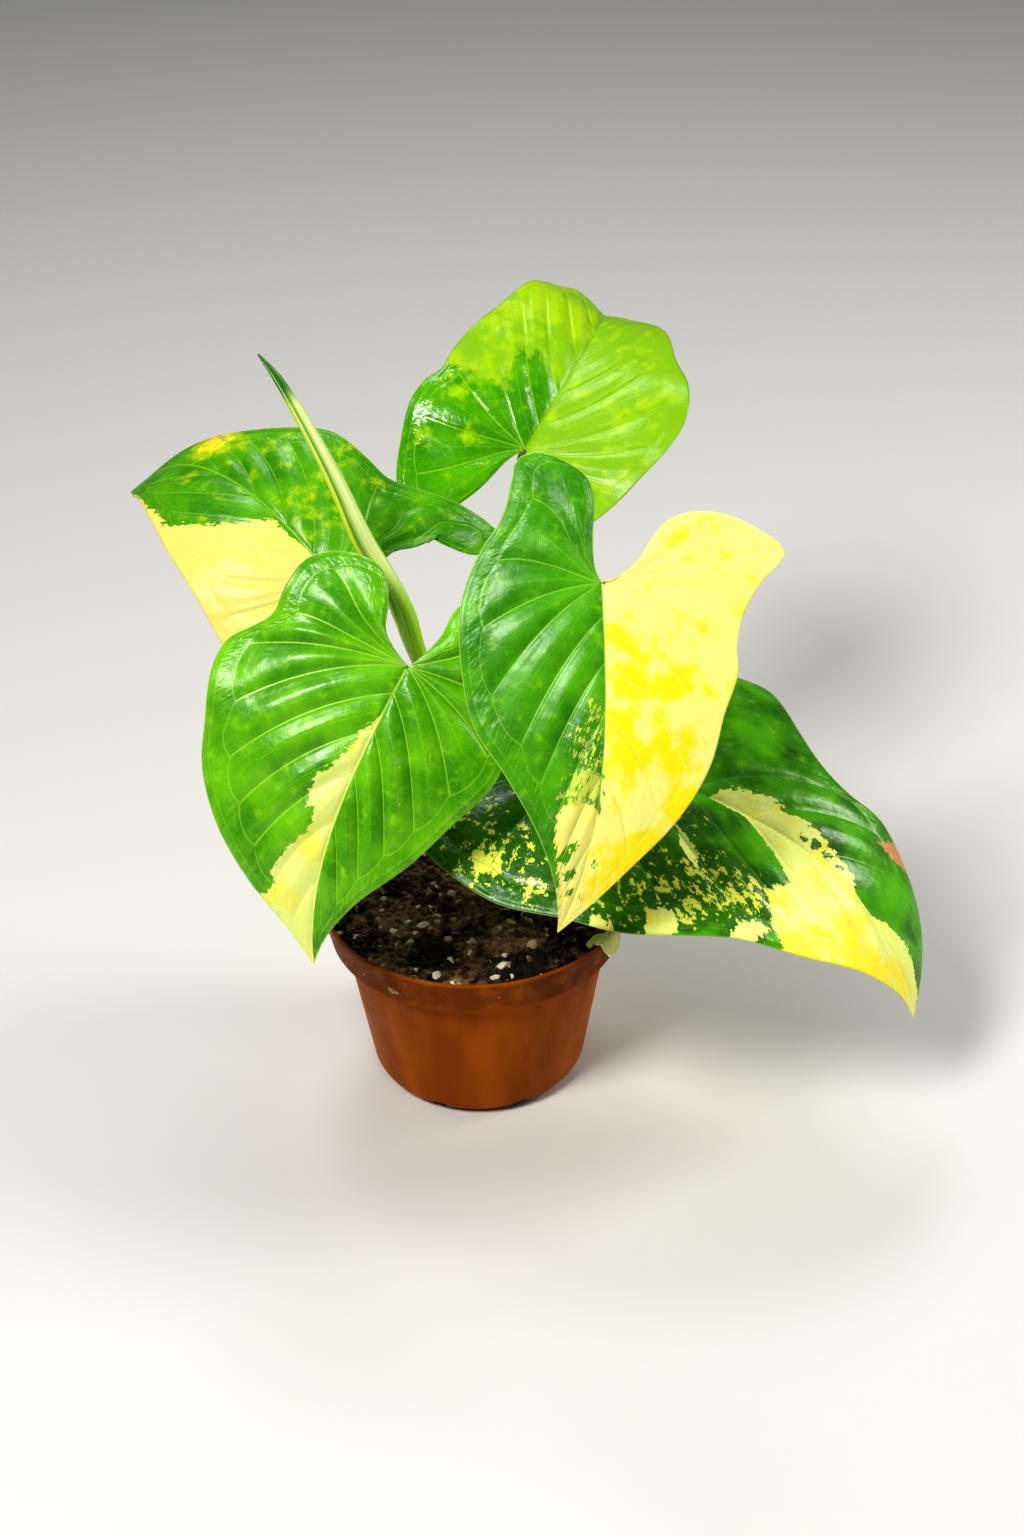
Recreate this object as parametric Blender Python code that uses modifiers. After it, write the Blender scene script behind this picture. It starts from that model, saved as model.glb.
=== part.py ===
"""Variegated arrowhead plant in a small plastic nursery pot.

The origin is the centre of the pot's underside, +Z is up and the plant is seen from -Y.
Tables give millimetres. Everything that becomes a mesh is in metres.
"""
import math
import random

import bmesh
import bpy
import numpy as np
from mathutils import Matrix, Vector, geometry

MM = 0.001
GAP = 0.3

# Pot: radii at heights, in millimetres
POT_HEIGHT = 66.0
POT_RIM_RADIUS = 50.0
POT_BAND_HEIGHT = 12.5
POT_BAND_FOOT_RADIUS = 47.8
POT_WALL_TOP_RADIUS = 43.2
POT_BASE_RADIUS = 34.5
POT_CORNER = 6.0
POT_WALL = 1.2
POT_FLOOR = 1.6
POT_SIDES = 60
DRAIN_HOLES = 6
DRAIN_HOLE_RADIUS = 3.0
DRAIN_CIRCLE = 22.0
NOTCHES = 8
NOTCH_WIDTH = 5.0
NOTCH_HEIGHT = 4.0

# Soil
SOIL_LEVEL = 60.5
SOIL_GRAIN_SPACING = 3.6
SOIL_CRUMB_HEIGHT = 1.1
PERLITE_GRAINS = 34
PERLITE_HEIGHT = 1.5

# Stem and leaf stalks
STEM_FOOT = (-2.0, 7.5)
STEM_RADIUS = 3.3
STEM_BURIED = 16.0
STEM_TOP = 88.0
STALK_RADIUS = 1.7
BLADE_THICKNESS = 0.7
RIB_THICKNESS = 1.4

# Leaf blades. junction is where the stalk joins, heading, pitch and roll turn the flat blade (degrees),
# droop bends the midrib down towards the tip, bend sweeps it sideways, fold lifts each half from the
# midrib and curl rolls its margin down. Each half is drawn flat, as (along the midrib, out from it)
# points from the junction round the lobe to the tip. The first ones, as many as sinus says, are the
# edge of the notch behind the junction.
BLADES = {
    "front_right": dict(
        junction=(39.1, -46.0, 206.5), heading=-87, pitch=-53, roll=0, length=104, half_width=45,
        droop=39, lobe_droop=10, bend=-27, fold=(6, 6), curl=(18, 18), quilt=1.0, wave=(0.8, 34, 20),
        left=[(0, 0), (-5, 1.8), (-14, 1.8), (-24, 0.8), (-31, 3), (-36, 10), (-38.5, 17), (-36.5, 22.5),
              (-31, 24), (-20, 27.5), (-9, 35), (5, 40.5), (22, 41), (39, 37.5), (53, 28), (69, 17.3),
              (83, 9.3), (95, 3.6), (104, 0)],
        left_sinus=6, left_first_vein=12,
        right=[(0, 0), (-1, 4), (-6, 10.5), (-13, 15.5), (-17.5, 20.5), (-19.3, 28), (-18, 38),
               (-12, 49.5), (-7.5, 53.5), (-3.5, 51.5), (2, 45.4), (11, 40), (20, 37.9), (28, 37.8),
               (39, 34), (54, 30.8), (69, 23.4), (83, 13.2), (94, 6), (104, 0)],
        right_sinus=5, right_first_vein=13),
    "front_left": dict(
        junction=(-17.3, -36.0, 174.0), heading=-135, pitch=-46, roll=-32, length=98, half_width=45,
        droop=41, lobe_droop=10, bend=26, fold=(10, -4), curl=(20, 26), quilt=1.7, wave=(1.4, 40, 200),
        left=[(0, 0), (-3, 6.5), (-7, 11), (-15, 14.3), (-21, 19.5), (-22.5, 25.6), (-20, 35), (-13.5, 41.8),
              (-4, 43.2), (5, 42.8), (12, 47.5), (18, 51.8), (27, 52), (42, 47.4), (55, 44), (67.5, 35),
              (80, 21), (89, 8.2), (98, 0)],
        left_sinus=5, left_first_vein=12,
        right=[(0, 0), (-4, 2), (-12, 4.3), (-20, 4.2), (-26.5, 6.5), (-28.5, 11.5), (-23, 20), (-6, 31.7),
               (10, 38.5), (21, 39.3), (36, 33.4), (53.5, 25.4), (71.6, 12.8), (86, 4.8), (98, 0)],
        right_sinus=5, right_first_vein=10),
    "right_low": dict(
        junction=(39.3, -8.0, 121.6), heading=-20, pitch=-6, roll=9, length=141, half_width=60,
        droop=76, lobe_droop=10, bend=-11, fold=(8, 12), curl=(35, 33), quilt=1.3, wave=(0.8, 46, 60),
        left=[(0, 0), (-8, 3), (-22, 6), (-36, 13), (-45, 23), (-48, 34), (-44, 46), (-33, 54.5), (-13, 60.8),
              (8, 61), (27, 58.8), (47, 51.8), (64, 43.6), (86, 34), (108, 19.5), (126, 8), (141, 0)],
        left_sinus=4, left_first_vein=10,
        right=[(0, 0), (-6, 3), (-18, 8), (-30, 18), (-37, 30), (-37, 43), (-28, 54), (-10, 62), (10, 65),
               (29, 62.8), (42, 59), (56, 43.5), (66, 35), (77, 31.3), (90, 32.2), (103, 27.5),
               (118, 20.5), (130, 11.5), (141, 0)],
        right_sinus=4, right_first_vein=10),
    "back_left": dict(
        junction=(-40.8, 4.0, 181.8), heading=139, pitch=35, roll=-18, length=101.5, half_width=38,
        droop=92, lobe_droop=10, bend=25, fold=(13, 0), curl=(21, 30), quilt=1.0, wave=(1.0, 38, 140),
        left=[(0, 0), (-2.5, 6), (-3.5, 12), (-3, 17), (-6, 24), (-6, 31), (-12, 35), (-19, 41), (-21.8, 48.5),
              (-19.5, 54.5), (-13, 53.5), (-4, 48.2), (6, 41), (15, 35.5), (26, 34.8), (39, 33), (50, 26.5),
              (64, 17), (79, 9.5), (92, 4), (101.5, 0)],
        left_sinus=8, left_first_vein=14,
        right=[(0, 0), (-6, 3), (-14, 7), (-21, 13), (-24, 21), (-20.5, 30), (-11, 36.8), (1, 39), (16, 37),
               (33, 33.6), (50, 28.2), (67, 20.4), (81, 13.5), (93, 6), (101.5, 0)],
        right_sinus=4, right_first_vein=9),
    "back_top": dict(
        junction=(18.9, 64.0, 193.8), heading=53, pitch=33, roll=32, length=104, half_width=40,
        droop=95, lobe_droop=10, bend=8, fold=(21, 12), curl=(2, 31), quilt=1.0, wave=(1.6, 30, 40),
        left=[(0, 0), (-4, 3.5), (-12, 7), (-19, 13), (-21.5, 21), (-17, 30), (-6, 35.5), (6, 38.8), (17, 41.5),
              (29, 42), (40, 37), (52, 29), (70, 20.3), (84, 11.5), (95, 5), (104, 0)],
        left_sinus=4, left_first_vein=9,
        right=[(0, 0), (-7, 3.1), (-20, 6), (-31, 11), (-36, 17.8), (-35.3, 25), (-29.5, 31), (-18.5, 35.8),
               (-6, 40), (4, 39.5), (10, 37), (20, 37.1), (39, 33), (52, 30), (64, 26.5), (76, 19.5),
               (88, 11), (97, 4.5), (104, 0)],
        right_sinus=4, right_first_vein=12),
}

LOBE_VEINS = 4
SIDE_VEINS = 6
ROWS_PER_VEIN = 2
BLADE_COLUMNS = (0.0, 0.08, 0.22, 0.38, 0.55, 0.72, 0.87, 1.0)
VEIN_ARCH = 0.13
COLLECTING_VEIN = 0.86

# Stalks: height where each leaves the stem, and points on the way to its blade. It first rises along
# the stem, and at its top it comes straight up to the blade's underside over the approach's length.
STALK_RISE = 9.0
STALK_APPROACH = 14.0
STALK_REACH = 1.5
STALKS = {
    "right_low": dict(foot=67.0, side=-15, via=[(13.0, 3.5, 90.0), (29.0, -2.0, 110.0)]),
    "front_left": dict(foot=71.0, side=-135, via=[(-7.0, 1.0, 100.0), (-10.0, -10.0, 134.0)]),
    "back_top": dict(foot=74.0, side=75, via=[(2.0, 22.0, 120.0), (10.0, 43.0, 160.0)]),
    "front_right": dict(foot=78.0, side=-70, via=[(2.5, 1.0, 102.0), (8.0, -2.0, 124.0), (20.0, -17.0, 160.0)]),
    "back_left": dict(foot=81.0, side=170, via=[(-14.0, 8.0, 118.0), (-27.0, 8.5, 152.0)]),
}

# Rolled new leaf: its line from the stem to the tip, with the radius along it
NEW_LEAF_LINE = [(-2.0, 7.5, 88.3), (-3.5, 5.5, 112.0), (-9.0, 2.5, 138.0), (-15.5, 0.5, 156.0),
                 (-19.5, -2.0, 173.5), (-24.0, -3.5, 186.0), (-30.5, -4.0, 199.5), (-37.5, -4.0, 219.0),
                 (-45.8, -4.0, 238.5), (-52.5, -4.0, 252.0), (-57.5, -4.0, 259.5)]
NEW_LEAF_RADII = [2.3, 2.3, 2.6, 2.9, 3.8, 3.4, 3.6, 2.9, 2.2, 1.5, 0.35]
NEW_LEAF_SIDES = 12
NEW_LEAF_RINGS = 30
ROLL_STEP = 0.18

# Scrap over the rim
SCALE_BEARING = -33.0
SCALE_WIDTH = 11.0
SCALE_THICKNESS = 0.8

COLOURS = {
    "pot": ((0.42, 0.12, 0.03), 0.38),
    "soil": ((0.025, 0.018, 0.012), 0.95),
    "stem": ((0.30, 0.24, 0.08), 0.6),
    "stalk": ((0.22, 0.36, 0.06), 0.45),
    "green": ((0.07, 0.30, 0.02), 0.4),
    "lime": ((0.25, 0.50, 0.02), 0.4),
    "cream": ((0.85, 0.80, 0.30), 0.42),
    "dark": ((0.02, 0.13, 0.01), 0.4),
    "pale": ((0.62, 0.72, 0.30), 0.4),
}


def clear_scene():
    """Remove every object of the open file."""
    for obj in list(bpy.data.objects):
        bpy.data.objects.remove(obj, do_unlink=True)


def new_collection(name):
    collection = bpy.data.collections.new(name)
    bpy.context.scene.collection.children.link(collection)
    return collection


def material(name):
    """A Principled material from the colour table, made once."""
    found = bpy.data.materials.get(name)
    if found:
        return found
    colour, roughness = COLOURS[name]
    made = bpy.data.materials.new(name)
    made.use_nodes = True
    shader = made.node_tree.nodes["Principled BSDF"]
    shader.inputs["Base Color"].default_value = (*colour, 1.0)
    shader.inputs["Roughness"].default_value = roughness
    made.diffuse_color = (*colour, 1.0)
    return made


def add_object(name, mesh, collection, colour, smooth=True):
    obj = bpy.data.objects.new(name, mesh)
    collection.objects.link(obj)
    mesh.materials.append(material(colour))
    if smooth:
        mesh.shade_smooth()
    return obj


def mesh_from(name, points, faces):
    """A mesh from points in millimetres."""
    mesh = bpy.data.meshes.new(name)
    mesh.from_pydata([tuple(MM * float(c) for c in p) for p in points], [], faces)
    mesh.validate()
    return mesh


def cut(obj, cutter):
    """Add a Boolean that takes the hidden cutter out of the object."""
    boolean = obj.modifiers.new("cut", "BOOLEAN")
    boolean.operation = "DIFFERENCE"
    boolean.object = cutter
    boolean.solver = "EXACT"


def hide_cutter(obj):
    obj.hide_render = True
    obj.display_type = "WIRE"


def smooth_line(points, steps):
    """Catmull-Rom line through the points, with its ends and the given number of steps in each span."""
    p = np.array(points, float)
    p = np.vstack([2 * p[0] - p[1], p, 2 * p[-1] - p[-2]])
    out = []
    for i in range(1, len(p) - 2):
        for k in range(steps):
            u = k / steps
            out.append(0.5 * (2 * p[i] + (p[i + 1] - p[i - 1]) * u
                              + (2 * p[i - 1] - 5 * p[i] + 4 * p[i + 1] - p[i + 2]) * u * u
                              + (3 * p[i] - p[i - 1] - 3 * p[i + 1] + p[i + 2]) * u ** 3))
    out.append(p[-2])
    return np.array(out)


def at_fraction(line, fraction):
    """Points at the given fractions of a line's length."""
    steps = np.linalg.norm(np.diff(line, axis=0), axis=1)
    run = np.concatenate([[0.0], np.cumsum(steps)])
    where = np.clip(fraction, 0, 1) * run[-1]
    return np.stack([np.interp(where, run, line[:, k]) for k in range(line.shape[1])], axis=-1)


def pot_profile():
    """The pot's section, from the middle of its floor up the inside, over the rim and down the outside."""
    band_foot = POT_HEIGHT - POT_BAND_HEIGHT
    slope = (POT_WALL_TOP_RADIUS - POT_BASE_RADIUS) / band_foot
    corner = [(POT_BASE_RADIUS - POT_CORNER * (1 - math.cos(a)) + slope * POT_CORNER * (1 - math.sin(a)),
               POT_CORNER * (1 - math.sin(a))) for a in (0.0, 0.5, 1.05, math.pi / 2)]
    inner_corner = [(max(r - POT_WALL, 0.0), max(z, POT_FLOOR)) for r, z in reversed(corner[:3])]
    inside = [(0.0, POT_FLOOR), (DRAIN_CIRCLE - 8, POT_FLOOR)] + inner_corner
    inside += [(POT_WALL_TOP_RADIUS - POT_WALL, band_foot - 1.5), (POT_BAND_FOOT_RADIUS - POT_WALL, band_foot + 0.6)]
    rim = [(POT_RIM_RADIUS - POT_WALL, POT_HEIGHT - 0.6), (POT_RIM_RADIUS - 0.7, POT_HEIGHT),
           (POT_RIM_RADIUS, POT_HEIGHT - 0.6), (POT_RIM_RADIUS - 0.3, POT_HEIGHT - 2.2)]
    outside = [(POT_BAND_FOOT_RADIUS, band_foot + 0.7), (POT_BAND_FOOT_RADIUS - 0.7, band_foot),
               (POT_WALL_TOP_RADIUS + 0.8, band_foot - 0.6), (POT_WALL_TOP_RADIUS, band_foot - 2.0)]
    outside += corner + [(DRAIN_CIRCLE - 8, 0.0), (0.0, 0.0)]
    return inside + rim + outside


def pot_inner_radius(height):
    """Inside radius of the pot at a height."""
    section = [(r, z) for r, z in pot_profile()[2:9]]
    heights = [z for r, z in section]
    radii = [r for r, z in section]
    return float(np.interp(height, heights, radii))


def make_pot(collection, cutters):
    """Turned wall and floor, with round drain holes and notches through the bottom corner."""
    profile = pot_profile()
    mesh = bpy.data.meshes.new("pot")
    mesh.from_pydata([(r * MM, 0.0, z * MM) for r, z in profile], [(i, i + 1) for i in range(len(profile) - 1)], [])
    pot = add_object("pot", mesh, collection, "pot")
    screw = pot.modifiers.new("turn", "SCREW")
    screw.steps = POT_SIDES
    screw.render_steps = POT_SIDES
    screw.use_merge_vertices = True
    screw.merge_threshold = 0.00005
    cutter = bmesh.new()
    for i in range(DRAIN_HOLES):
        angle = 2 * math.pi * i / DRAIN_HOLES
        made = bmesh.ops.create_cone(cutter, cap_ends=True, segments=12, radius1=DRAIN_HOLE_RADIUS * MM,
                                     radius2=DRAIN_HOLE_RADIUS * MM, depth=4 * POT_FLOOR * MM)
        place = Vector((DRAIN_CIRCLE * math.cos(angle), DRAIN_CIRCLE * math.sin(angle), POT_FLOOR / 2)) * MM
        bmesh.ops.translate(cutter, verts=made["verts"], vec=place)
    for i in range(NOTCHES):
        made = bmesh.ops.create_cube(cutter, size=1.0)
        bmesh.ops.scale(cutter, verts=made["verts"], vec=(9 * MM, NOTCH_WIDTH * MM, 2 * NOTCH_HEIGHT * MM))
        bmesh.ops.translate(cutter, verts=made["verts"], vec=((POT_BASE_RADIUS + 1.0) * MM, 0, 0))
        turn = Matrix.Rotation(2 * math.pi * (i + 0.5) / NOTCHES, 3, "Z")
        bmesh.ops.rotate(cutter, verts=made["verts"], cent=(0, 0, 0), matrix=turn)
    cutter_mesh = bpy.data.meshes.new("pot_cutter")
    cutter.to_mesh(cutter_mesh)
    cutter.free()
    tool = bpy.data.objects.new("pot_cutter", cutter_mesh)
    cutters.objects.link(tool)
    hide_cutter(tool)
    cut(pot, tool)
    return pot


def soil_height(x, y, grains):
    """Height of the soil's surface: a low mound with crumbs and rounded perlite grains."""
    crumbs = math.sin(0.9 * x + 1.3 * math.sin(0.7 * y)) * math.sin(1.1 * y + math.sin(0.6 * x))
    lumps = math.sin(0.31 * x + 2.0) * math.cos(0.27 * y - 0.5)
    height = SOIL_LEVEL + SOIL_CRUMB_HEIGHT * (0.5 * crumbs + 0.5 * lumps)
    for gx, gy, size in grains:
        near = ((x - gx) ** 2 + (y - gy) ** 2) / size ** 2
        if near < 1.0:
            height += PERLITE_HEIGHT * (1.0 - near)
    return height


def make_soil(collection, cutters):
    """The plug of potting mix: its crumbly top, then rings down the inside of the pot."""
    draw = random.Random(4)
    edge = pot_inner_radius(SOIL_LEVEL) - GAP
    points = [Vector((edge * math.cos(a), edge * math.sin(a)))
              for a in [2 * math.pi * i / POT_SIDES for i in range(POT_SIDES)]]
    inner = []
    step = SOIL_GRAIN_SPACING
    count = int(edge / step) + 1
    for row in range(-count, count + 1):
        for column in range(-count, count + 1):
            x = step * (column + 0.5 * (row % 2)) + draw.uniform(-0.7, 0.7)
            y = step * 0.87 * row + draw.uniform(-0.7, 0.7)
            if math.hypot(x, y) < edge - 0.7 * step:
                inner.append(Vector((x, y)))
    grains = [(*draw.choice(inner), draw.uniform(1.8, 2.6)) for _ in range(PERLITE_GRAINS)]
    flat = geometry.delaunay_2d_cdt(points + inner, [], [list(range(POT_SIDES))], 1, 0.001)
    verts = [(p.x, p.y, soil_height(p.x, p.y, grains) if i >= POT_SIDES else SOIL_LEVEL)
             for i, p in enumerate(flat[0])]
    faces = [list(face) for face in flat[2]]
    band_foot = POT_HEIGHT - POT_BAND_HEIGHT
    levels = [band_foot + 0.6, band_foot - 1.5, 20.0, POT_CORNER, POT_FLOOR + GAP]
    ring = list(range(POT_SIDES))
    for level in levels:
        radius = pot_inner_radius(level) - GAP - 0.15
        start = len(verts)
        verts += [(radius * p.x / edge, radius * p.y / edge, level) for p in points]
        below = list(range(start, start + POT_SIDES))
        for i in range(POT_SIDES):
            j = (i + 1) % POT_SIDES
            faces.append([ring[i], below[i], below[j], ring[j]])
        ring = below
    faces.append(list(reversed(ring)))
    soil = add_object("soil", mesh_from("soil", verts, faces), collection, "soil")
    hole = bmesh.new()
    made = bmesh.ops.create_cone(hole, cap_ends=True, segments=16, radius1=(STEM_RADIUS + GAP) * MM,
                                 radius2=(STEM_RADIUS + GAP) * MM, depth=2 * (STEM_BURIED + GAP) * MM)
    bmesh.ops.translate(hole, verts=made["verts"], vec=Vector((*STEM_FOOT, SOIL_LEVEL)) * MM)
    mesh = bpy.data.meshes.new("soil_cutter")
    hole.to_mesh(mesh)
    hole.free()
    tool = bpy.data.objects.new("soil_cutter", mesh)
    cutters.objects.link(tool)
    hide_cutter(tool)
    cut(soil, tool)
    return soil


def tube(name, line, radii, collection, colour, resolution=2):
    """A round stalk along the line, in millimetres, with a radius for each point and filled caps."""
    curve = bpy.data.curves.new(name, "CURVE")
    curve.dimensions = "3D"
    curve.bevel_depth = MM
    curve.bevel_resolution = resolution
    curve.use_fill_caps = True
    spline = curve.splines.new("POLY")
    spline.points.add(len(line) - 1)
    for point, place, radius in zip(spline.points, line, radii):
        point.co = (*(MM * float(c) for c in place), 1.0)
        point.radius = float(radius)
    curve.materials.append(material(colour))
    obj = bpy.data.objects.new(name, curve)
    collection.objects.link(obj)
    return obj


def make_stem(collection):
    """The short stem, thicker at its two leaf scars."""
    x, y = STEM_FOOT
    heights = [SOIL_LEVEL - STEM_BURIED, SOIL_LEVEL, 64.0, 66.0, 68.0, 76.0, 78.0, 80.0, STEM_TOP - 1.0, STEM_TOP]
    radii = [3.0, 3.2, 3.0, STEM_RADIUS, 3.0, 2.8, 3.1, 2.8, 2.5, 1.9]
    return tube("stem", [(x, y, z) for z in heights], radii, collection, "stem")


def blade_axes(leaf):
    """Directions of a flat blade: towards the tip, towards its right side, and out of its upper face."""
    heading, pitch, roll = (math.radians(leaf[k]) for k in ("heading", "pitch", "roll"))
    ahead = np.array([math.cos(pitch) * math.cos(heading), math.cos(pitch) * math.sin(heading), math.sin(pitch)])
    up = np.array([-math.sin(pitch) * math.cos(heading), -math.sin(pitch) * math.sin(heading), math.cos(pitch)])
    right = np.cross(up, ahead)
    return (ahead, right * math.cos(roll) + up * math.sin(roll), up * math.cos(roll) - right * math.sin(roll))


def running(angle_at, reach, x):
    """Distance gone forwards and sideways after x along a line whose angle changes as it goes."""
    steps = np.linspace(0.0, reach, 80)
    angle = angle_at(steps)
    width = np.diff(steps)
    ahead = np.concatenate([[0.0], np.cumsum(width * (np.cos(angle[1:]) + np.cos(angle[:-1])) / 2)])
    aside = np.concatenate([[0.0], np.cumsum(width * (np.sin(angle[1:]) + np.sin(angle[:-1])) / 2)])
    return np.interp(x, steps, ahead), np.interp(x, steps, aside)


def bend_blade(leaf, side, s, q, lift):
    """Place flat points of one half, s along the midrib and q out from it, with the lift off the surface."""
    ahead, right, up = blade_axes(leaf)
    length, width = leaf["length"], leaf["half_width"]
    forward = np.clip(s, 0, None)
    back = np.clip(-s, 0, None)
    droop = math.radians(leaf["droop"])
    lobe = math.radians(leaf["lobe_droop"])
    sweep = math.radians(leaf["bend"])
    on, down = running(lambda x: droop * (x / length) ** 1.5, 1.3 * length, forward)
    off, under = running(lambda x: lobe * x / (0.5 * length), length, back)
    _, aside = running(lambda x: sweep * (x / length) ** 2, 1.3 * length, forward)
    tilt = np.where(s >= 0, droop * (forward / length) ** 1.5, -lobe * back / (0.5 * length))
    rib = ((on - off)[:, None] * ahead - (down + under)[:, None] * up + aside[:, None] * right)
    out_of = np.cos(tilt)[:, None] * up + np.sin(tilt)[:, None] * ahead
    sign = 1.0 if side == "right" else -1.0
    which = 1 if side == "right" else 0
    fold, curl = math.radians(leaf["fold"][which]), math.radians(leaf["curl"][which])
    part = (np.arange(24) + 0.5) / 24
    slope = fold - curl * q[:, None] * part / width
    outward = np.cos(slope).mean(axis=1) * q
    height, period, phase = leaf["wave"]
    wave = height * (q / width) ** 2 * np.sin(2 * math.pi * s / period + math.radians(phase) + sign)
    rise = np.sin(slope).mean(axis=1) * q + wave
    last = fold - curl * q / width
    normal = np.cos(last)[:, None] * out_of - (sign * np.sin(last))[:, None] * right
    place = rib + (sign * outward)[:, None] * right + rise[:, None] * out_of + lift[:, None] * normal
    return np.array(leaf["junction"]) + place


def half_outline(leaf, side):
    """The notch edge and the outer margin of one half, as smooth lines."""
    line = smooth_line(leaf[side], 8)
    split = 8 * (leaf[side + "_sinus"] - 1)
    return line[:split + 1], line[split:], 8 * (leaf[side + "_first_vein"] - 1) - split


def blade_rows(leaf, side, rows_per_vein, columns):
    """Flat points of one half, a row along each vein and between veins, and how far each is from a vein."""
    notch, margin, first = half_outline(leaf, side)
    tip = np.array([leaf["length"], 0.0])
    steps = np.concatenate([[0.0], np.cumsum(np.linalg.norm(np.diff(margin, axis=0), axis=1))])
    first_share = steps[first] / steps[-1]
    b = np.array(columns)

    def vein_row(rib, share):
        start = np.array([rib, 0.0])
        end = at_fraction(margin, share)
        reach = np.linalg.norm(end - start)
        middle = (start + end) / 2 - np.array([VEIN_ARCH * reach, 0.0])
        middle[1] += 0.3 * VEIN_ARCH * reach
        return ((1 - b) ** 2)[:, None] * start + (2 * b * (1 - b))[:, None] * middle + (b ** 2)[:, None] * end

    rows = []
    edge = at_fraction(notch, b)
    basal = vein_row(0.0, first_share)
    for k in range(LOBE_VEINS * rows_per_vein):
        w = k / (LOBE_VEINS * rows_per_vein)
        end = at_fraction(margin, w * first_share)
        spare = end - (1 - w) * edge[-1] - w * basal[-1]
        rows.append((1 - w) * edge + w * basal + b[:, None] * spare)
    ladder = SIDE_VEINS * rows_per_vein
    for k in range(ladder):
        w = k / ladder
        rows.append(vein_row(leaf["length"] * w ** 0.9, first_share + (1 - first_share) * w))
    rows.append(np.repeat(tip[None], len(b), axis=0))
    return rows


def quilting(leaf, k, rows_per_vein, b):
    """Height of the blade between its sunken veins."""
    swell = math.sin(math.pi * k / rows_per_vein) ** 2
    across = np.sin(np.pi * np.clip(b / COLLECTING_VEIN, 0, 1)) ** 0.6
    fade = min(1.0, (LOBE_VEINS + SIDE_VEINS - k / rows_per_vein) / 2.5)
    return leaf["quilt"] * swell * across * fade


def make_blade(name, leaf, collection, colour):
    """One blade: both halves on one midrib, in triangles, thickened downwards with a heavier rib."""
    b = np.array(BLADE_COLUMNS)
    index = {}
    points = []
    ribs = []
    faces = []

    def vertex(side, s, q, lift):
        key = (round(s, 3), round(q if side == "right" else -q, 3))
        if key not in index:
            index[key] = len(points)
            points.append(bend_blade(leaf, side, np.array([s]), np.array([q]), np.array([lift]))[0])
            ribs.append(q < 0.01)
        return index[key]

    for side in ("left", "right"):
        rows = blade_rows(leaf, side, ROWS_PER_VEIN, b)
        ids = []
        for k, row in enumerate(rows):
            lift = quilting(leaf, k, ROWS_PER_VEIN, b)
            ids.append([vertex(side, s, q, h) for (s, q), h in zip(row, lift)])
        for k in range(len(ids) - 1):
            for c in range(len(b) - 1):
                corners = [ids[k][c], ids[k][c + 1], ids[k + 1][c + 1], ids[k + 1][c]]
                if side == "left":
                    corners.reverse()
                for tri in ((0, 1, 2), (0, 2, 3)):
                    face = [corners[i] for i in tri]
                    if len(set(face)) == 3:
                        faces.append(face)
    blade = add_object(name, mesh_from(name, points, faces), collection, colour)
    group = blade.vertex_groups.new(name="rib")
    group.add([i for i, on_rib in enumerate(ribs) if on_rib], 1.0, "REPLACE")
    wall = blade.modifiers.new("thickness", "SOLIDIFY")
    wall.thickness = RIB_THICKNESS * MM
    wall.offset = -1.0
    wall.vertex_group = "rib"
    wall.thickness_vertex_group = BLADE_THICKNESS / RIB_THICKNESS
    return blade


def make_stalk(name, collection):
    """The stalk of one blade: out of the stem's side, up and over to the underside of its blade."""
    stalk, leaf = STALKS[name], BLADES[name]
    ahead, _, up = blade_axes(leaf)
    x, y = STEM_FOOT
    side = math.radians(stalk["side"])
    out = np.array([math.cos(side), math.sin(side), 0.0])
    foot = np.array([x, y, stalk["foot"]]) + (STEM_RADIUS + STALK_RADIUS + GAP) * out
    end = np.array(leaf["junction"]) + STALK_REACH * ahead - (RIB_THICKNESS + GAP + 0.1) * up
    risen = foot + 1.2 * out + np.array([0, 0, STALK_RISE])
    line = smooth_line([foot, risen, *stalk["via"], end - STALK_APPROACH * up, end], 5)
    share = np.linspace(0, 1, len(line))
    radii = STALK_RADIUS * (1.0 - 0.25 * share)
    radii[0] = 0.8 * STALK_RADIUS
    return tube("petiole_" + name, line, radii, collection, "stalk")


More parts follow.
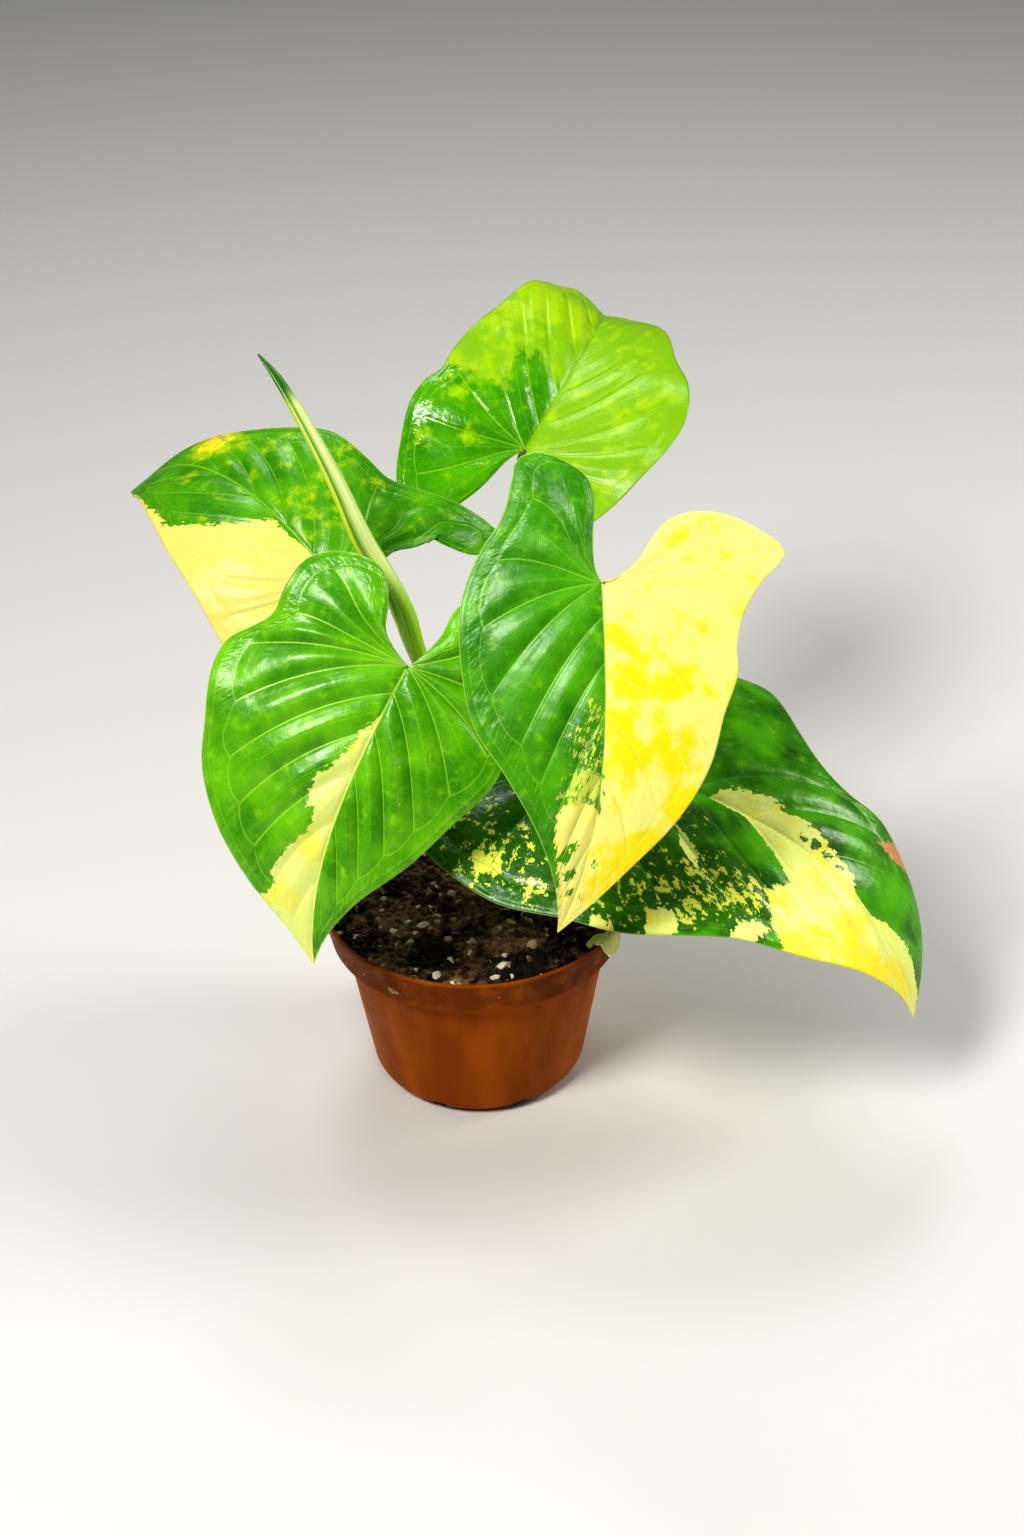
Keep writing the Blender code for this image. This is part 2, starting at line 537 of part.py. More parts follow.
def make_new_leaf(collection):
    """The rolled leaf on its own stalk: one solid whose section is a roll with a stepped outer edge."""
    line = smooth_line(NEW_LEAF_LINE, 6)
    shares = np.linspace(0, 1, NEW_LEAF_RINGS)
    centres = at_fraction(line, shares)
    knots = np.array(NEW_LEAF_LINE)
    run = np.concatenate([[0.0], np.cumsum(np.linalg.norm(np.diff(knots, axis=0), axis=1))])
    radii = np.interp(shares, run / run[-1], NEW_LEAF_RADII)
    points = []
    faces = []
    side = np.array([1.0, 0.0, 0.0])
    for k, (centre, radius) in enumerate(zip(centres, radii)):
        along = centres[min(k + 1, NEW_LEAF_RINGS - 1)] - centres[max(k - 1, 0)]
        along /= np.linalg.norm(along)
        side = side - along * side.dot(along)
        side /= np.linalg.norm(side)
        front = np.cross(along, side)
        rolled = ROLL_STEP if 0.45 < shares[k] < 0.97 else 0.0
        for i in range(NEW_LEAF_SIDES):
            turn = 2 * math.pi * i / NEW_LEAF_SIDES
            reach = radius * (1.0 - rolled * i / NEW_LEAF_SIDES)
            points.append(centre + reach * (math.cos(turn) * side + math.sin(turn) * front))
    for k in range(NEW_LEAF_RINGS - 1):
        for i in range(NEW_LEAF_SIDES):
            j = (i + 1) % NEW_LEAF_SIDES
            a, c = k * NEW_LEAF_SIDES, (k + 1) * NEW_LEAF_SIDES
            faces.append([a + i, a + j, c + j, c + i])
    faces.append(list(reversed(range(NEW_LEAF_SIDES))))
    faces.append(list(range(len(points) - NEW_LEAF_SIDES, len(points))))
    return add_object("new_leaf", mesh_from("new_leaf", points, faces), collection, "pale")


def make_rim_scale(collection):
    """A thin cream scale that rests on the soil and laps over the pot's rim."""
    section = [(43.5, SOIL_LEVEL + 2.0), (46.3, 63.0), (48.0, POT_HEIGHT - 0.4), (49.3, POT_HEIGHT + GAP + 0.1),
               (50.3, POT_HEIGHT + GAP), (51.4, POT_HEIGHT - 2.0), (51.9, POT_HEIGHT - 4.6)]
    line = smooth_line(section, 3)
    columns = 7
    points = []
    faces = []
    for k, (radius, height) in enumerate(line):
        along = k / (len(line) - 1)
        half = 0.5 * SCALE_WIDTH * (1.0 - 0.45 * abs(2 * along - 1) ** 2)
        for i in range(columns):
            across = half * (2 * i / (columns - 1) - 1)
            bearing = math.radians(SCALE_BEARING) + across / radius
            cup = 0.5 * (across / half) ** 2
            points.append(((radius + cup) * math.cos(bearing), (radius + cup) * math.sin(bearing), height + cup))
    for k in range(len(line) - 1):
        for i in range(columns - 1):
            a = k * columns + i
            faces.append([a, a + columns, a + columns + 1])
            faces.append([a, a + columns + 1, a + 1])
    scale = add_object("rim_scale", mesh_from("rim_scale", points, faces), collection, "cream")
    wall = scale.modifiers.new("thickness", "SOLIDIFY")
    wall.thickness = SCALE_THICKNESS * MM
    wall.offset = 1.0
    return scale


def main():
    clear_scene()
    parts = new_collection("arrowhead_plant")
    cutters = new_collection("cutters")
    make_pot(parts, cutters)
    make_soil(parts, cutters)
    make_stem(parts)
    tints = {"front_right": "green", "front_left": "green", "right_low": "dark", "back_left": "green",
             "back_top": "lime"}
    for name, leaf in BLADES.items():
        make_blade("blade_" + name, leaf, parts, tints[name])
        make_stalk(name, parts)
    make_new_leaf(parts)
    make_rim_scale(parts)


main()
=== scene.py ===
"""Looks of a variegated arrowhead plant in its nursery pot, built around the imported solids.

Sizes of the plant and its pot are in millimetres and degrees, and those of the studio in metres.
Every mesh is made in metres.
"""

import math

import bmesh
import bpy
import numpy as np
from mathutils import Matrix, Vector


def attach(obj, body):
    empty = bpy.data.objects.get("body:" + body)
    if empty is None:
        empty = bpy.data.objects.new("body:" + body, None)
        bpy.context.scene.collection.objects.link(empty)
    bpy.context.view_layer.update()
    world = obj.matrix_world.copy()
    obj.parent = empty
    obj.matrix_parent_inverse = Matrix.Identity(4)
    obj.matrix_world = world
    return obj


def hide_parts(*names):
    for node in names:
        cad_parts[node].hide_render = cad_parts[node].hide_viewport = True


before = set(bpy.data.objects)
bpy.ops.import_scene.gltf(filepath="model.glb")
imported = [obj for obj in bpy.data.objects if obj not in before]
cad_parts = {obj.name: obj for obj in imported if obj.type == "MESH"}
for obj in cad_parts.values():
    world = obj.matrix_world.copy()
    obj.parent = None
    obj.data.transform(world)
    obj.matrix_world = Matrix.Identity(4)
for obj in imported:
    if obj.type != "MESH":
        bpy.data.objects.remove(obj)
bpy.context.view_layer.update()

# The view. The camera stands at the photograph's angle: a little to the right of the pot's axis and
# looking down at about a third of a right angle, through a short telephoto lens.
MM = 0.001
CAMERA_PLACE = (12.7, -711.9, 584.1)
CAMERA_PITCH = 33.44
CAMERA_ROLL = -1.05
CAMERA_LENS = 63.28
SENSOR_WIDTH = 36.0
camera_data = bpy.data.cameras.new("camera")
camera_data.lens = CAMERA_LENS
camera_data.sensor_width = SENSOR_WIDTH
camera_data.sensor_fit = "AUTO"
camera = bpy.data.objects.new("camera", camera_data)
bpy.context.scene.collection.objects.link(camera)
camera.matrix_world = (Matrix.Translation(MM * Vector(CAMERA_PLACE))
                       @ Matrix.Rotation(math.radians(90.0 - CAMERA_PITCH), 4, "X")
                       @ Matrix.Rotation(math.radians(CAMERA_ROLL), 4, "Z"))
bpy.context.scene.camera = camera

# The studio. A pale floor, a wide soft lamp high in front and a little to the left, a weaker one
# lower on the right, a third high behind that puts more gloss on the blades, and a dim sky.
FLOOR_RADIUS = 2.5
FLOOR_SIDES = 96
FLOOR_COLOUR = (0.68, 0.67, 0.65)
FLOOR_ROUGHNESS = 0.75
SKY_COLOUR = (0.93, 0.96, 1.0)
SKY_STRENGTH = 0.13
LAMPS = {
    "key": dict(place=(-0.40, -0.58, 0.98), size=0.34, power=9.4, colour=(1.0, 0.98, 0.94)),
    "side": dict(place=(0.95, 0.10, 0.62), size=0.40, power=4.8, colour=(1.0, 0.97, 0.93)),
    "back": dict(place=(-0.10, 0.55, 1.05), size=0.40, power=2.6, colour=(0.97, 0.99, 1.0)),
}
LAMP_TARGET = Vector((0.01, 0.0, 0.13))
floor_mesh = bpy.data.meshes.new("floor")
floor_shape = bmesh.new()
bmesh.ops.create_circle(floor_shape, cap_ends=True, segments=FLOOR_SIDES, radius=FLOOR_RADIUS)
floor_shape.to_mesh(floor_mesh)
floor_shape.free()
floor = bpy.data.objects.new("floor", floor_mesh)
bpy.context.scene.collection.objects.link(floor)
floor_paint = bpy.data.materials.new("floor_paint")
floor_paint.use_nodes = True
floor_shader = floor_paint.node_tree.nodes["Principled BSDF"]
floor_shader.inputs["Base Color"].default_value = (*FLOOR_COLOUR, 1.0)
floor_shader.inputs["Roughness"].default_value = FLOOR_ROUGHNESS
floor_mesh.materials.append(floor_paint)
sky = bpy.data.worlds.new("sky")
sky.use_nodes = True
sky_light = sky.node_tree.nodes["Background"]
sky_light.inputs["Color"].default_value = (*SKY_COLOUR, 1.0)
sky_light.inputs["Strength"].default_value = SKY_STRENGTH
bpy.context.scene.world = sky
for lamp_name, lamp in LAMPS.items():
    lamp_data = bpy.data.lights.new(lamp_name, "AREA")
    lamp_data.shape = "DISK"
    lamp_data.size = lamp["size"]
    lamp_data.energy = lamp["power"]
    lamp_data.color = lamp["colour"]
    lamp_object = bpy.data.objects.new(lamp_name, lamp_data)
    lamp_object.location = lamp["place"]
    lamp_object.rotation_euler = (LAMP_TARGET - Vector(lamp["place"])).to_track_quat("-Z", "Y").to_euler()
    bpy.context.scene.collection.objects.link(lamp_object)
bpy.context.scene.view_settings.view_transform = "Standard"
bpy.context.scene.view_settings.look = "High Contrast"

# The pot. A thin injection-moulded nursery pot in terracotta-coloured plastic: tapered wall, tall
# stacking band under the rim, round drain holes in the floor and cut-outs through the bottom corner.
POT_HEIGHT = 66.0
RIM_RADIUS = 50.0
BAND_HEIGHT = 12.5
BAND_FOOT_RADIUS = 47.8
WALL_TOP_RADIUS = 43.2
BASE_RADIUS = 34.5
POT_CORNER = 6.0
POT_WALL = 1.2
POT_FLOOR = 1.6
POT_SIDES = 144
POT_SEAM = 0.02
POT_WELD = 0.01
POT_SLIVER = 0.002
POT_SHARP = 40.0
CORNER_STEPS = 7
FLOOR_RING = 14.0
DRAIN_HOLES = 6
DRAIN_HOLE_RADIUS = 3.0
DRAIN_HOLE_SIDES = 32
DRAIN_CIRCLE = 22.0
NOTCHES = 8
NOTCH_REACH = 9.0
NOTCH_WIDTH = 5.0
NOTCH_HEIGHT = 4.0
TERRACOTTA = (0.28, 0.066, 0.001)
TERRACOTTA_LIGHT = (0.42, 0.118, 0.002)
# A shaded copy of the terracotta, for the painted shade on the band.
TERRACOTTA_SHADED = (0.100, 0.022, 0.002)
LIME_SPOT = (0.62, 0.36, 0.20)
SOIL_SMEAR = (0.07, 0.035, 0.018)


def start_material(name, **sockets):
    """A new Principled material, with its constant values on the shader's own sockets."""
    made = bpy.data.materials.new(name)
    made.use_nodes = True
    shader = made.node_tree.nodes["Principled BSDF"]
    for socket, value in sockets.items():
        shader.inputs[socket.replace("_", " ").title().replace("Ior", "IOR")].default_value = value
    return made, made.node_tree, shader


def node(tree, kind, inputs=None, **settings):
    """Add one node. Each input is a value, or the socket that feeds it."""
    made = tree.nodes.new(kind)
    for name, value in settings.items():
        setattr(made, name, value)
    for key, value in (inputs or {}).items():
        if isinstance(value, bpy.types.NodeSocket):
            tree.links.new(value, made.inputs[key])
        else:
            made.inputs[key].default_value = value
    return made


def maths(tree, operation, *terms):
    """The result of a Math node."""
    return node(tree, "ShaderNodeMath", dict(enumerate(terms)), operation=operation).outputs[0]


def times(tree, first, second):
    """The product of two values."""
    return maths(tree, "MULTIPLY", first, second)


def blend_colours(tree, share, first, second):
    """Two colours mixed by a share from 0 to 1."""
    pair = [c if isinstance(c, bpy.types.NodeSocket) else (*c, 1.0) for c in (first, second)]
    return node(tree, "ShaderNodeMix", {0: share, 6: pair[0], 7: pair[1]}, data_type="RGBA").outputs[2]


def ramp(tree, value, low, high, to_low=0.0, to_high=1.0):
    """A value taken from one range to another, smoothly and clamped."""
    made = node(tree, "ShaderNodeMapRange", {0: value, 1: low, 2: high, 3: to_low, 4: to_high},
                interpolation_type="SMOOTHSTEP")
    return made.outputs[0]


def noise(tree, coordinates, scale, detail=2.0, roughness=0.5):
    """Noise from 0 to 1 on the coordinates."""
    made = node(tree, "ShaderNodeTexNoise", {"Vector": coordinates, "Scale": scale, "Detail": detail,
                                             "Roughness": roughness})
    return made.outputs["Fac"]


def stretched(tree, coordinates, scale):
    """Coordinates with each axis scaled by its own amount."""
    return node(tree, "ShaderNodeMapping", {"Vector": coordinates, "Scale": scale}).outputs["Vector"]


def bump(tree, shader, height, strength):
    """Feed a height in millimetres to the shader's normal."""
    made = node(tree, "ShaderNodeBump", {"Height": height, "Strength": strength, "Distance": MM})
    tree.links.new(made.outputs["Normal"], shader.inputs["Normal"])


def add_piece(name, mesh, *materials):
    """Put a finished mesh in the scene as an object at the origin."""
    piece = bpy.data.objects.new(name, mesh)
    bpy.context.scene.collection.objects.link(piece)
    for made in materials:
        mesh.materials.append(made)
    return piece


def evaluated_mesh(piece, name):
    """Turn a piece with modifiers into a plain mesh and drop the modifiers."""
    graph = bpy.context.evaluated_depsgraph_get()
    mesh = bpy.data.meshes.new_from_object(piece.evaluated_get(graph))
    mesh.name = name
    piece.modifiers.clear()
    piece.data = mesh


def pot_plastic():
    """Terracotta plastic: faint flow marks, painted shade on the stacking band, a lighter top edge on the
    rim, dried water spots and soil smears.
    """
    made, tree, shader = start_material("pot_plastic", specular_ior_level=0.09)
    place = node(tree, "ShaderNodeTexCoord").outputs["Object"]
    flow = noise(tree, stretched(tree, place, (1.0, 1.0, 0.25)), 60.0, 3.0, 0.55)
    colour = blend_colours(tree, ramp(tree, flow, 0.36, 0.66), TERRACOTTA, TERRACOTTA_LIGHT)
    height = node(tree, "ShaderNodeSeparateXYZ", {0: place}).outputs["Z"]
    band_foot = (POT_HEIGHT - BAND_HEIGHT) * MM
    # Painted shade: the stacking band is darkened in patches, standing in for the shade the leaves cast on
    # it.
    band_shade = ramp(tree, height, band_foot - 3.0 * MM, band_foot + 3.0 * MM, 0.0, 0.62)
    patches = noise(tree, place, 140.0, 4.0, 0.6)
    band_shade = times(tree, band_shade, ramp(tree, patches, 0.15, 0.60))
    colour = blend_colours(tree, band_shade, colour, TERRACOTTA_SHADED)
    spots = node(tree, "ShaderNodeTexVoronoi", {"Vector": place, "Scale": 210.0}, feature="F1")
    ring = times(tree, ramp(tree, spots.outputs["Distance"], 0.10, 0.22, 1.0, 0.0),
                 ramp(tree, noise(tree, place, 1100.0, 3.0), 0.40, 0.62))
    rare = ramp(tree, noise(tree, place, 55.0, 1.0), 0.56, 0.66)
    on_band = ramp(tree, height, band_foot - 8.0 * MM, band_foot + 2.0 * MM)
    ring = times(tree, times(tree, ring, rare), on_band)
    colour = blend_colours(tree, times(tree, ring, 0.55), colour, LIME_SPOT)
    smear = ramp(tree, noise(tree, stretched(tree, place, (1.0, 1.0, 0.5)), 320.0, 5.0, 0.7), 0.62, 0.70)
    near_rim = ramp(tree, height, 52.0 * MM, POT_HEIGHT * MM, 0.05, 0.8)
    colour = blend_colours(tree, times(tree, smear, near_rim), colour, SOIL_SMEAR)
    # The top edge of the rim is made lighter.
    rim_edge_lighter = ramp(tree, height, (POT_HEIGHT - 1.2) * MM, (POT_HEIGHT - 0.3) * MM, 0.0, 0.45)
    colour = blend_colours(tree, rim_edge_lighter, colour, TERRACOTTA_LIGHT)
    tree.links.new(colour, shader.inputs["Base Color"])
    tree.links.new(ramp(tree, patches, 0.3, 0.75, 0.40, 0.55), shader.inputs["Roughness"])
    drawn = noise(tree, stretched(tree, place, (1.0, 1.0, 0.1)), 90.0, 2.0)
    fine = maths(tree, "ADD", times(tree, noise(tree, place, 900.0, 2.0), 0.02), times(tree, drawn, 0.10))
    bump(tree, shader, maths(tree, "ADD", fine, times(tree, ring, 0.06)), 0.6)
    return made


def pot_section():
    """The pot's section in millimetres, up the inside, over the rim and down the outside."""
    foot = POT_HEIGHT - BAND_HEIGHT
    lean = (WALL_TOP_RADIUS - BASE_RADIUS) / foot
    corner = []
    for step in range(CORNER_STEPS + 1):
        turn = 0.5 * math.pi * step / CORNER_STEPS
        rise = POT_CORNER * (1.0 - math.sin(turn))
        corner.append((BASE_RADIUS - POT_CORNER * (1.0 - math.cos(turn)) + lean * rise, rise))
    inner_corner = [(radius - POT_WALL, max(z, POT_FLOOR)) for radius, z in reversed(corner[:-1])]
    inside = [(0.0, POT_FLOOR), (FLOOR_RING, POT_FLOOR)] + inner_corner
    inside += [(WALL_TOP_RADIUS - POT_WALL, foot - 1.5), (WALL_TOP_RADIUS - 0.4, foot - 0.4),
               (BAND_FOOT_RADIUS - POT_WALL - 0.6, foot + 0.2), (BAND_FOOT_RADIUS - POT_WALL, foot + 0.8)]
    rim = [(RIM_RADIUS - POT_WALL, POT_HEIGHT - 0.7), (RIM_RADIUS - POT_WALL + 0.15, POT_HEIGHT - 0.25),
           (RIM_RADIUS - 0.85, POT_HEIGHT), (RIM_RADIUS - 0.45, POT_HEIGHT),
           (RIM_RADIUS - 0.1, POT_HEIGHT - 0.25), (RIM_RADIUS, POT_HEIGHT - 0.7),
           (RIM_RADIUS - 0.05, POT_HEIGHT - 1.6), (RIM_RADIUS - 0.35, POT_HEIGHT - 2.2)]
    band = [(BAND_FOOT_RADIUS + 0.05, foot + 1.0), (BAND_FOOT_RADIUS - 0.1, foot + 0.35),
            (BAND_FOOT_RADIUS - 0.6, foot), (WALL_TOP_RADIUS + 1.0, foot - 0.45),
            (WALL_TOP_RADIUS + 0.3, foot - 0.9), (WALL_TOP_RADIUS, foot - 2.0)]
    under = [(FLOOR_RING, 0.0), (0.0, 0.0)]
    return inside + rim + band + corner + under


section = pot_section()
pot_mesh = bpy.data.meshes.new("pot_wall")
pot_mesh.from_pydata([(r * MM, 0.0, z * MM) for r, z in section],
                     [(i, i + 1) for i in range(len(section) - 1)], [])
pot = add_piece("pot_finish", pot_mesh)
turned = pot.modifiers.new("turn", "SCREW")
turned.steps = POT_SIDES
turned.render_steps = POT_SIDES
turned.use_merge_vertices = True
turned.merge_threshold = POT_SEAM * MM
cutter_shape = bmesh.new()
for hole in range(DRAIN_HOLES):
    angle = 2.0 * math.pi * hole / DRAIN_HOLES
    drill = bmesh.ops.create_cone(cutter_shape, cap_ends=True, segments=DRAIN_HOLE_SIDES,
                                  radius1=DRAIN_HOLE_RADIUS * MM, radius2=DRAIN_HOLE_RADIUS * MM,
                                  depth=4.0 * POT_FLOOR * MM)
    spot = Vector((DRAIN_CIRCLE * math.cos(angle), DRAIN_CIRCLE * math.sin(angle), 0.5 * POT_FLOOR)) * MM
    bmesh.ops.translate(cutter_shape, verts=drill["verts"], vec=spot)
for notch in range(NOTCHES):
    block = bmesh.ops.create_cube(cutter_shape, size=1.0)["verts"]
    bmesh.ops.scale(cutter_shape, verts=block,
                    vec=(NOTCH_REACH * MM, NOTCH_WIDTH * MM, 2.0 * NOTCH_HEIGHT * MM))
    bmesh.ops.translate(cutter_shape, verts=block, vec=((BASE_RADIUS + 1.0) * MM, 0.0, 0.0))
    bmesh.ops.rotate(cutter_shape, verts=block, cent=(0.0, 0.0, 0.0),
                     matrix=Matrix.Rotation(2.0 * math.pi * (notch + 0.5) / NOTCHES, 3, "Z"))
cutter_mesh = bpy.data.meshes.new("pot_cutter")
cutter_shape.to_mesh(cutter_mesh)
cutter_shape.free()
cutter = bpy.data.objects.new("pot_cutter", cutter_mesh)
bpy.context.scene.collection.objects.link(cutter)
holes = pot.modifiers.new("holes", "BOOLEAN")
holes.object = cutter
holes.operation = "DIFFERENCE"
holes.solver = "EXACT"
evaluated_mesh(pot, "pot_finish")
bpy.data.objects.remove(cutter, do_unlink=True)
pot_shape = bmesh.new()
pot_shape.from_mesh(pot.data)
bmesh.ops.remove_doubles(pot_shape, verts=pot_shape.verts, dist=POT_WELD * MM)
bmesh.ops.dissolve_degenerate(pot_shape, edges=pot_shape.edges, dist=POT_SLIVER * MM)
bmesh.ops.triangulate(pot_shape, faces=[face for face in pot_shape.faces if len(face.verts) > 4])
pot_shape.to_mesh(pot.data)
pot_shape.free()
pot.data.shade_smooth()
pot.data.set_sharp_from_angle(angle=math.radians(POT_SHARP))
pot.data.materials.append(pot_plastic())
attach(pot, "root")
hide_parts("pot")

# The potting mix. Moist peat and bark crumbs fill the pot to just under the band, with white perlite
# grains 2 to 4 mm across and brown bark chips. The surface is lumpy and sinks a little round the edge.
SOIL_LEVEL = 60.5
SOIL_FLOOR = 1.9
SOIL_RINGS = 46
SOIL_SIDES = 180
SOIL_WALL_LEVELS = (54.6, 51.5, 20.0, 6.5, SOIL_FLOOR)
SOIL_EDGE_SINK = 0.9
WALL_CLEARANCE = 0.45
STEM_FOOT = (-2.0, 7.5)
STEM_HOLE_RADIUS = 3.6
STEM_HOLE_DEPTH = 16.3
PEAT = (0.016, 0.010, 0.006)
PEAT_LIGHT = (0.250, 0.150, 0.075)
PERLITE = (0.78, 0.74, 0.66)
PERLITE_DULL = (0.55, 0.42, 0.28)
BARK = (0.14, 0.070, 0.030)
BARK_LIGHT = (0.56, 0.38, 0.21)
GRAINS_PER_SQUARE_METRE = {"crumbs": 165000.0, "perlite": 26000.0, "bark": 30000.0}
GRAINS = {
    "crumbs": dict(material="peat", spacing=1.3, low=0.7, high=1.9, flat=0.75, faces=2, sink=0.2,
                   rough=0.6, seed=5),
    "perlite": dict(material="perlite", spacing=3.6, low=0.8, high=2.1, flat=0.80, faces=3, sink=-0.4,
                    rough=0.9, seed=11),
    "bark": dict(material="bark", spacing=3.4, low=0.9, high=2.6, flat=0.45, faces=3, sink=-0.3,
                 rough=0.6, seed=29),
}
GRAIN_ZONE = 4.0
GRAIN_SLOPE = 0.3
GRAIN_NOISE = 620.0


def earth_material(name, dark, light, scale, roughness):
    """A matt granular material of two mixed colours."""
    made, tree, shader = start_material(name, roughness=roughness, specular_ior_level=0.35)
    place = node(tree, "ShaderNodeTexCoord").outputs["Object"]
    patches = noise(tree, place, scale, 4.0, 0.65)
    single = noise(tree, place, 0.22 * scale, 1.0)
    mixed = ramp(tree, maths(tree, "MULTIPLY_ADD", single, 0.6, times(tree, patches, 0.5)), 0.50, 0.68)
    tree.links.new(blend_colours(tree, mixed, dark, light), shader.inputs["Base Color"])
    bump(tree, shader, times(tree, noise(tree, place, 3.0 * scale, 4.0, 0.7), 0.35), 0.7)
    return made


def pot_inside(height):
    """The pot's inner radius at a height, both in millimetres."""
    levels = [(BASE_RADIUS - 5.0, 2.0), (BASE_RADIUS - 0.4, 6.0), (WALL_TOP_RADIUS - POT_WALL, 52.0),
              (BAND_FOOT_RADIUS - POT_WALL, 54.3), (RIM_RADIUS - POT_WALL, 65.3)]
    return float(np.interp(height, [z for _, z in levels], [r for r, _ in levels]))


def soil_lumps(x, y):
    """Height of the soil's lumps above its level, in millimetres."""
    crumbs = math.sin(0.9 * x + 1.3 * math.sin(0.7 * y)) * math.sin(1.1 * y + math.sin(0.6 * x))
    lumps = math.sin(0.31 * x + 2.0) * math.cos(0.27 * y - 0.5)
    clods = math.sin(2.3 * x + 1.7 * math.sin(1.9 * y)) * math.sin(2.6 * y + 1.1)
    return 0.55 * crumbs + 0.55 * lumps + 0.30 * clods


def soil_mesh():
    """The plug of mix: a disc of rings with a plain hole for the stem, and a wall and floor under it."""
    shape = bmesh.new()
    edge = pot_inside(SOIL_LEVEL) - WALL_CLEARANCE
    centre = Vector((*STEM_FOOT, 0.0))
    bearings = [2.0 * math.pi * side / SOIL_SIDES for side in range(SOIL_SIDES)]
    rings = []
    for ring in range(SOIL_RINGS + 1):
        share = ring / SOIL_RINGS
        fade = min(1.0, 6.0 * share, 9.0 * (1.0 - share))
        sunk = SOIL_EDGE_SINK * max(0.0, share - 0.9) / 0.1
        loop = []
        for bearing in bearings:
            out = Vector((math.cos(bearing), math.sin(bearing), 0.0))
            spot = (centre + STEM_HOLE_RADIUS * out).lerp(edge * out, share)
            spot.z = SOIL_LEVEL + fade * soil_lumps(spot.x, spot.y) - sunk
            loop.append(shape.verts.new(spot * MM))
        rings.append(loop)
    for level in SOIL_WALL_LEVELS:
        radius = pot_inside(level) - WALL_CLEARANCE
        spots = [(radius * math.cos(bearing), radius * math.sin(bearing), level) for bearing in bearings]
        rings.append([shape.verts.new(Vector(spot) * MM) for spot in spots])
    well = [shape.verts.new(v.co - Vector((0.0, 0.0, STEM_HOLE_DEPTH * MM))) for v in rings[0]]
    for upper, lower in zip([well] + rings[:-1], rings):
        for side in range(SOIL_SIDES):
            after = (side + 1) % SOIL_SIDES
            shape.faces.new((upper[side], lower[side], lower[after], upper[after]))
    shape.faces.new(list(reversed(rings[-1])))
    shape.faces.new(well)
    bmesh.ops.recalc_face_normals(shape, faces=shape.faces)
    mesh = bpy.data.meshes.new("soil_surface")
    shape.to_mesh(mesh)
    shape.free()
    mesh.shade_smooth()
    return mesh


def new_tree(name, entry, values, result):
    """A Geometry Nodes tree with a geometry and named values going in and a geometry coming out."""
    tree = bpy.data.node_groups.new(name, "GeometryNodeTree")
    for label, kind in ((entry, "Geometry"), *values.items()):
        tree.interface.new_socket(label, in_out="INPUT", socket_type="NodeSocket" + kind)
    tree.interface.new_socket(result, in_out="OUTPUT", socket_type="NodeSocketGeometry")
    return tree, node(tree, "NodeGroupInput").outputs


def set_inputs(modifier, values):
    """Set a Geometry Nodes modifier's named inputs, each through its socket's identifier."""
    for socket in modifier.node_group.interface.items_tree:
        if socket.in_out == "INPUT" and socket.name in values:
            modifier[socket.identifier] = values[socket.name]


